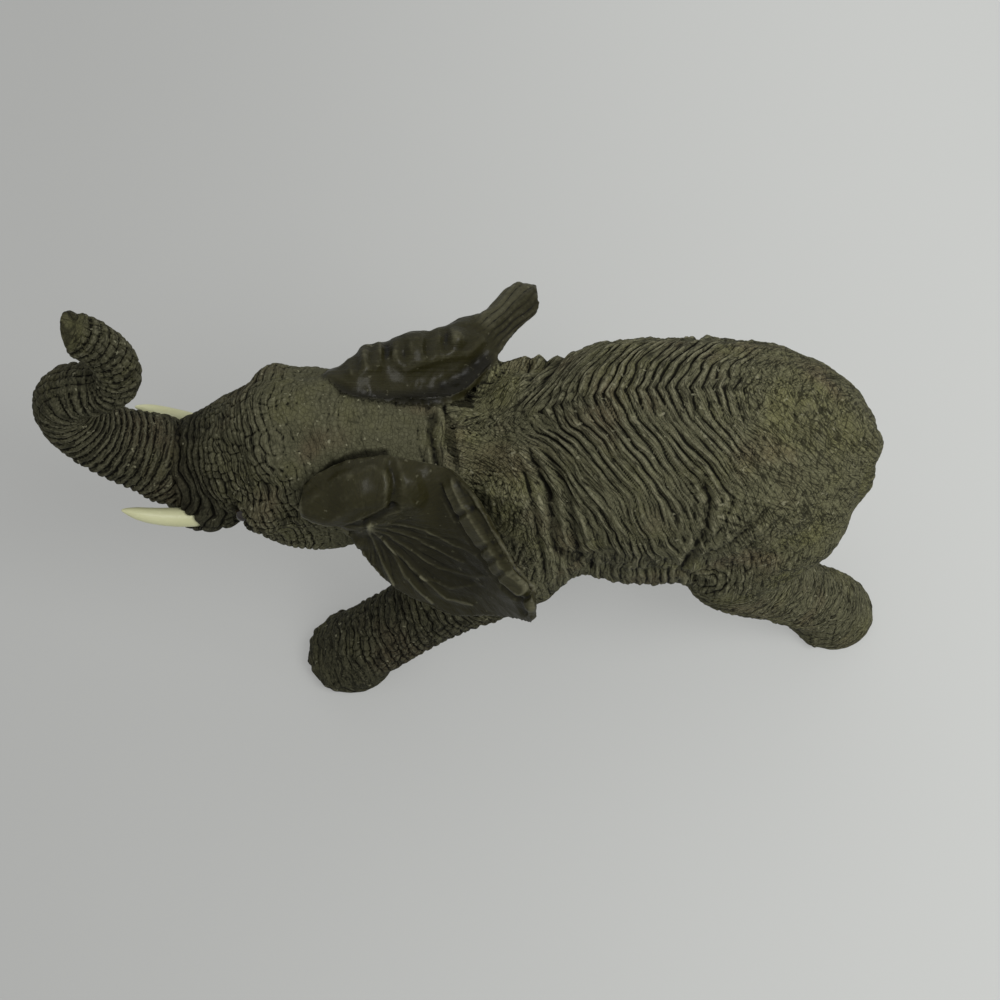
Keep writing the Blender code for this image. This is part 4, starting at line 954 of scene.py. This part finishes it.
def raise_relief(work):
    """Moves the skin along its normals by the relief, and keeps what the paint needs as attributes."""
    mesh = work.mesh
    around = Neighbours(mesh)
    relief = around.softened(work.relief, 1, 0.2)
    points = work.points + work.normals * relief[:, None]
    points[:, 2] = np.where(work.z < SOLE_BAND, 0.0, np.maximum(points[:, 2], 0.0))
    points[:, 1] += MIDDLE_Y
    mesh.vertices.foreach_set("co", (points / MM).astype(np.float32).ravel())
    mesh.update()
    normals = read(mesh, "vertices", "normal", 3)
    near = around.softened(points, 2)
    broad = around.softened(near, 9)
    kept = {
        "pit": np.einsum("ij,ij->i", points - near, normals),
        "cavity": np.einsum("ij,ij->i", points - broad, normals),
        "shade": work.shade,
        "moss": work.moss,
        "hatch": work.hatch,
        "ear_share": work.share("left_ear", "right_ear"),
    }
    for name, values in kept.items():
        attribute = mesh.attributes.new(name, "FLOAT", "POINT")
        attribute.data.foreach_set("value", values.astype(np.float32))
    attribute = mesh.attributes.new("flow", "FLOAT_VECTOR", "POINT")
    attribute.data.foreach_set("vector", work.flow.astype(np.float32).ravel())
    for name in SKIN_NODES:
        mesh.attributes.remove(mesh.attributes["near_" + name])


def parted(made):
    """The skin parted into one object for each solid."""
    bpy.ops.object.select_all(action="DESELECT")
    made.select_set(True)
    bpy.context.view_layer.objects.active = made
    bpy.ops.object.mode_set(mode="EDIT")
    bpy.ops.mesh.select_all(action="SELECT")
    bpy.ops.mesh.separate(type="MATERIAL")
    bpy.ops.object.mode_set(mode="OBJECT")
    found = {}
    for piece in bpy.context.selected_objects:
        found[piece.data.materials[0].name] = piece
    return found


def close_loops(piece):
    """Closes every open loop of a piece with a fan of faces, and counts the edges that stay open."""
    bm = bmesh.new()
    bm.from_mesh(piece.data)
    rims = [edge for edge in bm.edges if edge.is_boundary]
    caps = bmesh.ops.holes_fill(bm, edges=rims, sides=0)["faces"]
    bmesh.ops.poke(bm, faces=caps)
    left = sum(1 for edge in bm.edges if edge.is_boundary)
    bmesh.ops.recalc_face_normals(bm, faces=bm.faces)
    for face in bm.faces:
        face.smooth = True
        face.material_index = 0
    bm.to_mesh(piece.data)
    bm.free()
    return left


# Shader maths


class Socket:
    """A value of a node tree that Python operators combine."""

    def __init__(self, tree, link):
        self.tree = tree
        self.link = link

    def node(self, kind, settings=(), output=0, **inputs):
        """One node with its settings set first and then its sockets, by name or by i and number."""
        made = self.tree.nodes.new(kind)
        for key, value in dict(settings).items():
            setattr(made, key, value)
        for key, value in inputs.items():
            numbered = key[0] == "i" and key[1:].isdigit()
            self.feed(made.inputs[int(key[1:]) if numbered else key.replace("_", " ")], value)
        return Socket(self.tree, made.outputs[output])

    def feed(self, socket, value):
        """Gives a node's socket a link or a value."""
        if isinstance(value, Socket):
            self.tree.links.new(value.link, socket)
        else:
            socket.default_value = value

    def maths(self, operation, first, second=0.0):
        """A Math node."""
        return self.node("ShaderNodeMath", {"operation": operation}, i0=first, i1=second)

    def __add__(self, other):
        return self.maths("ADD", self, other)

    __radd__ = __add__

    def __mul__(self, other):
        return self.maths("MULTIPLY", self, other)

    __rmul__ = __mul__

    def __sub__(self, other):
        return self.maths("SUBTRACT", self, other)

    def __rsub__(self, other):
        return self.maths("SUBTRACT", other, self)

    def ranged(self, low, high, start=0.0, end=1.0):
        """The value taken from one range to another, clamped."""
        return self.node("ShaderNodeMapRange", {"interpolation_type": "SMOOTHSTEP"},
                         i0=self, i1=low, i2=high, i3=start, i4=end)


class Paint(Socket):
    """The start of a material's node tree, with its Principled shader."""

    def __init__(self, name):
        self.material = bpy.data.materials.new(name)
        self.material.use_nodes = True
        super().__init__(self.material.node_tree, None)
        self.shader = self.tree.nodes["Principled BSDF"]

    def places(self):
        """Object coordinates."""
        return self.node("ShaderNodeTexCoord", output=3)

    def stored(self, name, output=2):
        """A number kept on the mesh, or a place with output 1."""
        return self.node("ShaderNodeAttribute", {"attribute_name": name}, output=output)

    def noise(self, places, size, detail=3.0):
        """Noise from 0 to 1 with features of a size in metres."""
        return self.node("ShaderNodeTexNoise", Vector=places, Scale=1.0 / size, Detail=detail)

    def cells(self, places, size):
        """How far a place is inside its cell, for cells of a size in metres."""
        settings = {"feature": "DISTANCE_TO_EDGE"}
        return self.node("ShaderNodeTexVoronoi", settings, Vector=places, Scale=1.0 / size)

    def hairlines(self, flow, width, length, lean):
        """1 in fine wandering lines that lean from the flow of the folds, apart and long in millimetres."""
        turned = self.node("ShaderNodeVectorRotate", {"rotation_type": "Z_AXIS"}, Vector=flow, Angle=lean)
        scaled = self.node("ShaderNodeVectorMath", {"operation": "MULTIPLY"}, i0=turned,
                           i1=(1.0 / width, 1.0 / length, 0.7))
        wander = self.node("ShaderNodeTexNoise", Vector=scaled, Scale=1.0, Detail=1.0)
        return self.maths("ABSOLUTE", wander - 0.5).ranged(0.004, 0.050, 1.0, 0.0)

    def mixed(self, share, first, second):
        """One colour turned into another by a share."""
        return self.node("ShaderNodeMix", {"data_type": "RGBA"}, output=2, i0=share, i6=first, i7=second)

    def bumped(self, height, strength, distance):
        """A normal pushed about by a height."""
        return self.node("ShaderNodeBump", Height=height, Strength=strength, Distance=distance)

    def out(self, socket, value):
        """Feeds one socket of the shader."""
        self.feed(self.shader.inputs[socket], value)


# Colours beside the ones that a user changes, and the floor's glow
OLD_IVORY = (0.42, 0.42, 0.22)
PALE_IVORY = (0.75, 0.76, 0.55)
EYE_BLACK = (0.004, 0.003, 0.002)
EYE_BROWN = (0.02, 0.012, 0.006)
FLOOR_SHADE = (0.42, 0.43, 0.42)
# The floor's glow is painted light: dimmer on the left and brighter on the right, as the key lamp's light
# falls across the paper
GLOW_LEFT = (0.36, 0.36, 0.355)
GLOW_RIGHT = (0.66, 0.67, 0.655)
GLOW_SHARE = 0.55
FLOOR_RAMP = 0.16


def opaque(colour):
    """A colour with full alpha."""
    return (*colour, 1.0)


def hide_paint(colours):
    """Matt olive grey paint, dark in the grooves and dry-brushed on the ridges, with painted light and shade
    from the skin's stored tone, satin on the ears.
    """
    paint = Paint("painted_hide")
    places = paint.places()
    cavity, pit, shade, hatch = [paint.stored(name) for name in ("cavity", "pit", "shade", "hatch")]
    ear = paint.stored("ear_share").ranged(0.35, 0.75)
    flow = paint.stored("flow", 1)
    speck = paint.noise(places, 0.0009, 4.0)
    leather = paint.cells(places, 0.0009).ranged(0.0, 0.12, 1.0, 0.0)
    lines = paint.hairlines(flow, 0.95, 8.0, 0.0) + paint.hairlines(flow, 0.50, 5.0, 0.12) * 0.7
    crossed = paint.hairlines(flow, 1.0, 7.0, 0.95) + paint.hairlines(flow, 0.9, 6.0, -0.75)
    plain = hatch.ranged(0.0, -0.7)
    lines = (lines * (0.80 - plain * 0.55) + crossed * hatch.ranged(0.0, 1.0) * 0.7).ranged(0.0, 1.2)
    wash = (cavity + (speck - 0.5) * 0.16).ranged(0.02, -0.34) * 0.70
    wash = wash + (pit + (speck - 0.5) * 0.02).ranged(0.0, -0.06) * 0.65
    brushed = (cavity + (speck - 0.5) * 0.24).ranged(0.02, 0.24) * 0.7 + pit.ranged(0.0, 0.05) * 0.4
    mossy = paint.noise(places, 0.010).ranged(0.45, 0.70) * 0.40 + paint.stored("moss") * 0.7
    base = paint.mixed(mossy.ranged(0.0, 1.0), opaque(colours.hide), opaque(colours.moss))
    rusty = paint.noise(places, 0.016, 2.0).ranged(0.52, 0.72) * 0.5
    base = paint.mixed(rusty, base, opaque(colours.rust))
    base = paint.mixed(ear, base, opaque(colours.ear))
    # Painted light and shade: the stored tone lifts the paint towards the dry-brush colour as a painted
    # highlight and darkens it towards the wash as painted shade
    base = paint.mixed(shade.ranged(0.0, 1.0) * 0.8, base, opaque(colours.ridge))
    base = paint.mixed(brushed * (0.85 - ear * 0.6), base, opaque(colours.ridge))
    base = paint.mixed(shade.ranged(0.0, -1.0) * 0.85, base, opaque(colours.groove))
    base = paint.mixed(wash.ranged(0.0, 1.0) * 0.95, base, opaque(colours.groove))
    base = paint.mixed(lines * (0.80 - ear * 0.55), base, opaque(colours.groove))
    base = paint.mixed(leather * (0.35 - ear * 0.25), base, opaque(colours.groove))
    flecks = paint.noise(places, 0.0013, 2.0).ranged(0.68, 0.73) * 0.50
    base = paint.mixed(flecks * (1.0 - ear * 0.7), base, opaque(colours.fleck))
    paint.out("Base Color", base)
    paint.out("Roughness", (ear * -0.26 + 0.74) + (speck - 0.5) * 0.14)
    paint.out("Specular IOR Level", 0.08)
    paint.out("Coat Weight", ear * 0.14)
    paint.out("Coat Roughness", 0.28)
    fine = speck * 1.1 - leather * 0.4 - lines * 1.1
    paint.out("Normal", paint.bumped(fine * (1.0 - ear * 0.75), 0.6, 0.00030))
    return paint.material


def ivory_paint(colours):
    """Satin cream paint, yellower in broad patches and paler in small spots."""
    paint = Paint("painted_ivory")
    places = paint.places()
    patches = paint.noise(places, 0.006)
    stained = paint.noise(places, 0.0015)
    base = paint.mixed(patches.ranged(0.45, 0.75) * 0.45, opaque(colours.ivory), opaque(OLD_IVORY))
    base = paint.mixed(stained.ranged(0.60, 0.80) * 0.25, base, opaque(PALE_IVORY))
    paint.out("Base Color", base)
    paint.out("Roughness", stained.ranged(0.3, 0.7, 0.34, 0.46))
    paint.out("Normal", paint.bumped(stained, 0.10, 0.0002))
    return paint.material


def eye_paint():
    """Glossy dark paint of the eyes."""
    paint = Paint("painted_eye")
    base = paint.mixed(paint.noise(paint.places(), 0.0008), opaque(EYE_BLACK), opaque(EYE_BROWN))
    paint.out("Base Color", base)
    paint.out("Roughness", 0.12)
    return paint.material


def floor_paint(colours):
    """Pale paper, part of its paleness glowing for the camera, the glow painted brighter to the right as the
    key lamp's light.
    """
    paint = Paint("pale_floor")
    across = paint.node("ShaderNodeSeparateXYZ", Vector=paint.places())
    faint = paint.noise(paint.places(), 0.05)
    base = paint.mixed(faint.ranged(0.3, 0.7) * 0.06, opaque(colours.floor), opaque(FLOOR_SHADE))
    paint.out("Base Color", base)
    paint.out("Roughness", 0.85)
    # Painted light: the glow grows brighter from left to right
    pale = paint.mixed(across.ranged(-FLOOR_RAMP, FLOOR_RAMP), opaque(GLOW_LEFT), opaque(GLOW_RIGHT))
    glow = paint.node("ShaderNodeBsdfPrincipled", Base_Color=opaque((0.0, 0.0, 0.0)), Roughness=1.0,
                      Specular_IOR_Level=0.0, Emission_Color=pale, Emission_Strength=1.0)
    seen = paint.node("ShaderNodeLightPath", output="Is Camera Ray")
    for kind in ("Is Glossy Ray", "Is Transmission Ray"):
        seen = seen + paint.node("ShaderNodeLightPath", output=kind)
    lit = Socket(paint.tree, paint.shader.outputs[0])
    both = paint.node("ShaderNodeMixShader", i0=seen * GLOW_SHARE, i1=lit, i2=glow)
    paint.tree.links.new(both.link, paint.tree.nodes["Material Output"].inputs["Surface"])
    return paint.material


# Operators


def finished(piece, name, node, material):
    """Names a piece, gives it its paint and lets it ride and stand for its solid."""
    piece.name = name
    piece.data.name = name
    piece.data.materials.clear()
    piece.data.materials.append(material)
    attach(piece, "root")
    if node:
        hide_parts(node)


class FigureSkin(bpy.types.Operator):
    """Sculpts and paints the skin over head, body, legs, ears, trunk and tail."""

    bl_idname = "elephant.skin"
    bl_label = "Skin"

    def execute(self, context):
        sizes = context.scene.elephant_sizes
        made = melted_skin(sizes)
        work = Sculpture(made, sizes)
        for sculpt in (sculpt_trunk, sculpt_torso, sculpt_legs, sculpt_head, sculpt_ears, sculpt_tail):
            sculpt(work)
        raise_relief(work)
        material = hide_paint(context.scene.elephant_colours)
        pieces = parted(made)
        if set(pieces) != set(SKIN_NODES):
            raise RuntimeError(f"the skin parted into {sorted(pieces)}")
        for node, piece in pieces.items():
            left = close_loops(piece)
            if left:
                print("open edges", node, left)
            finished(piece, node + "_skin", node, material)
        return {"FINISHED"}


class FigureTusks(bpy.types.Operator):
    """Rounds the tusks and paints them."""

    bl_idname = "elephant.tusks"
    bl_label = "Tusks"

    def execute(self, context):
        material = ivory_paint(context.scene.elephant_colours)
        for node in ("left_tusk", "right_tusk"):
            piece = new_object(node + "_ivory", merged_solids((node,), 0.0))
            apply_modifier(piece, "SUBSURF", levels=2, render_levels=2)
            piece.data.shade_smooth()
            finished(piece, node + "_ivory", node, material)
        return {"FINISHED"}


# How deep an eye sits in the head, as a share of its radius
EYE_DEPTH_SHARE = 0.62


class FigureEyes(bpy.types.Operator):
    """Sets a small glossy eye into each cheek."""

    bl_idname = "elephant.eyes"
    bl_label = "Eyes"

    def execute(self, context):
        material = eye_paint()
        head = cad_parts["head"].data
        faces = [face.vertices[:] for face in head.polygons]
        tree = BVHTree.FromPolygons([vert.co for vert in head.vertices], faces)
        radius = context.scene.elephant_sizes.eye_width / 2.0
        for side, word in ((-1.0, "left"), (1.0, "right")):
            start = Vector((EYE_X / MM, MIDDLE_Y / MM + side * 0.05, EYE_Z / MM))
            place = tree.ray_cast(start, Vector((0.0, -side, 0.0)))[0]
            if place is None:
                raise RuntimeError("the head has no surface where the " + word + " eye sits")
            middle = Matrix.Translation(place - Vector((0.0, side * EYE_DEPTH_SHARE * radius, 0.0)))
            bm = bmesh.new()
            bmesh.ops.create_uvsphere(bm, u_segments=32, v_segments=20, radius=radius, matrix=middle)
            for face in bm.faces:
                face.smooth = True
            finished(new_object(word + "_eye", bm), word + "_eye", None, material)
        return {"FINISHED"}


# The stage in metres and watts: each lamp's name, place, size and power
LAMPS = (("key", (0.38, -0.24, 0.60), 0.35, 2.6), ("fill", (-0.10, 0.60, 0.80), 0.70, 0.8))
LAMP_AIM = (0.0, 0.0, 0.05)
STUDIO_LIGHT = 0.62
FLOOR_REACH = 3.0


class FigureStage(bpy.types.Operator):
    """Lays the pale floor, and sets the soft light and the camera."""

    bl_idname = "elephant.stage"
    bl_label = "Stage"

    def execute(self, context):
        scene = context.scene
        bm = bmesh.new()
        bmesh.ops.create_grid(bm, x_segments=1, y_segments=1, size=FLOOR_REACH)
        floor = new_object("floor", bm)
        floor.data.materials.append(floor_paint(scene.elephant_colours))
        world = bpy.data.worlds.new("studio")
        world.use_nodes = True
        backdrop = world.node_tree.nodes["Background"].inputs
        backdrop["Color"].default_value = opaque((1.0, 1.0, 1.0))
        backdrop["Strength"].default_value = STUDIO_LIGHT
        scene.world = world
        for name, place, size, power in LAMPS:
            light = bpy.data.lights.new(name, "AREA")
            light.size = size
            light.energy = power
            lamp = bpy.data.objects.new(name, light)
            scene.collection.objects.link(lamp)
            lamp.location = place
            aim = Vector(LAMP_AIM) - lamp.location
            lamp.rotation_euler = aim.to_track_quat("-Z", "Y").to_euler()
        camera = bpy.data.cameras.new("camera")
        camera.lens = CAMERA_LENS
        camera.clip_start = 0.01
        eye = bpy.data.objects.new("camera", camera)
        scene.collection.objects.link(eye)
        look = -TO_CAMERA
        up = Vector((0.0, math.cos(CAMERA_TILT), math.sin(CAMERA_TILT)))
        turn = Matrix((look.cross(up), up, -look)).transposed().to_4x4()
        eye.matrix_world = Matrix.Translation(CAMERA_TARGET - look * CAMERA_DISTANCE) @ turn
        scene.camera = eye
        scene.view_settings.view_transform = "Standard"
        return {"FINISHED"}


class FigurePanel(bpy.types.Panel):
    """Lists the figure's sizes, colours and operators."""

    bl_idname = "VIEW3D_PT_elephant"
    bl_label = "Elephant figure"
    bl_space_type = "VIEW_3D"
    bl_region_type = "UI"
    bl_category = "Elephant"

    def draw(self, context):
        for group in (context.scene.elephant_sizes, context.scene.elephant_colours):
            for key in group.__annotations__:
                self.layout.prop(group, key)
        for operator in OPERATORS:
            self.layout.operator(operator.bl_idname)


OPERATORS = (FigureSkin, FigureTusks, FigureEyes, FigureStage)
CLASSES = (FigureSizes, FigureColours, *OPERATORS, FigurePanel)


def register():
    """Makes the classes and their settings known."""
    for each in CLASSES:
        bpy.utils.register_class(each)
    bpy.types.Scene.elephant_sizes = PointerProperty(type=FigureSizes)
    bpy.types.Scene.elephant_colours = PointerProperty(type=FigureColours)


def unregister():
    """Takes the classes and their settings away."""
    del bpy.types.Scene.elephant_colours
    del bpy.types.Scene.elephant_sizes
    for each in reversed(CLASSES):
        bpy.utils.unregister_class(each)


def main():
    """Runs every operator."""
    register()
    bpy.ops.elephant.skin()
    bpy.ops.elephant.tusks()
    bpy.ops.elephant.eyes()
    bpy.ops.elephant.stage()


if __name__ == "__main__":
    main()
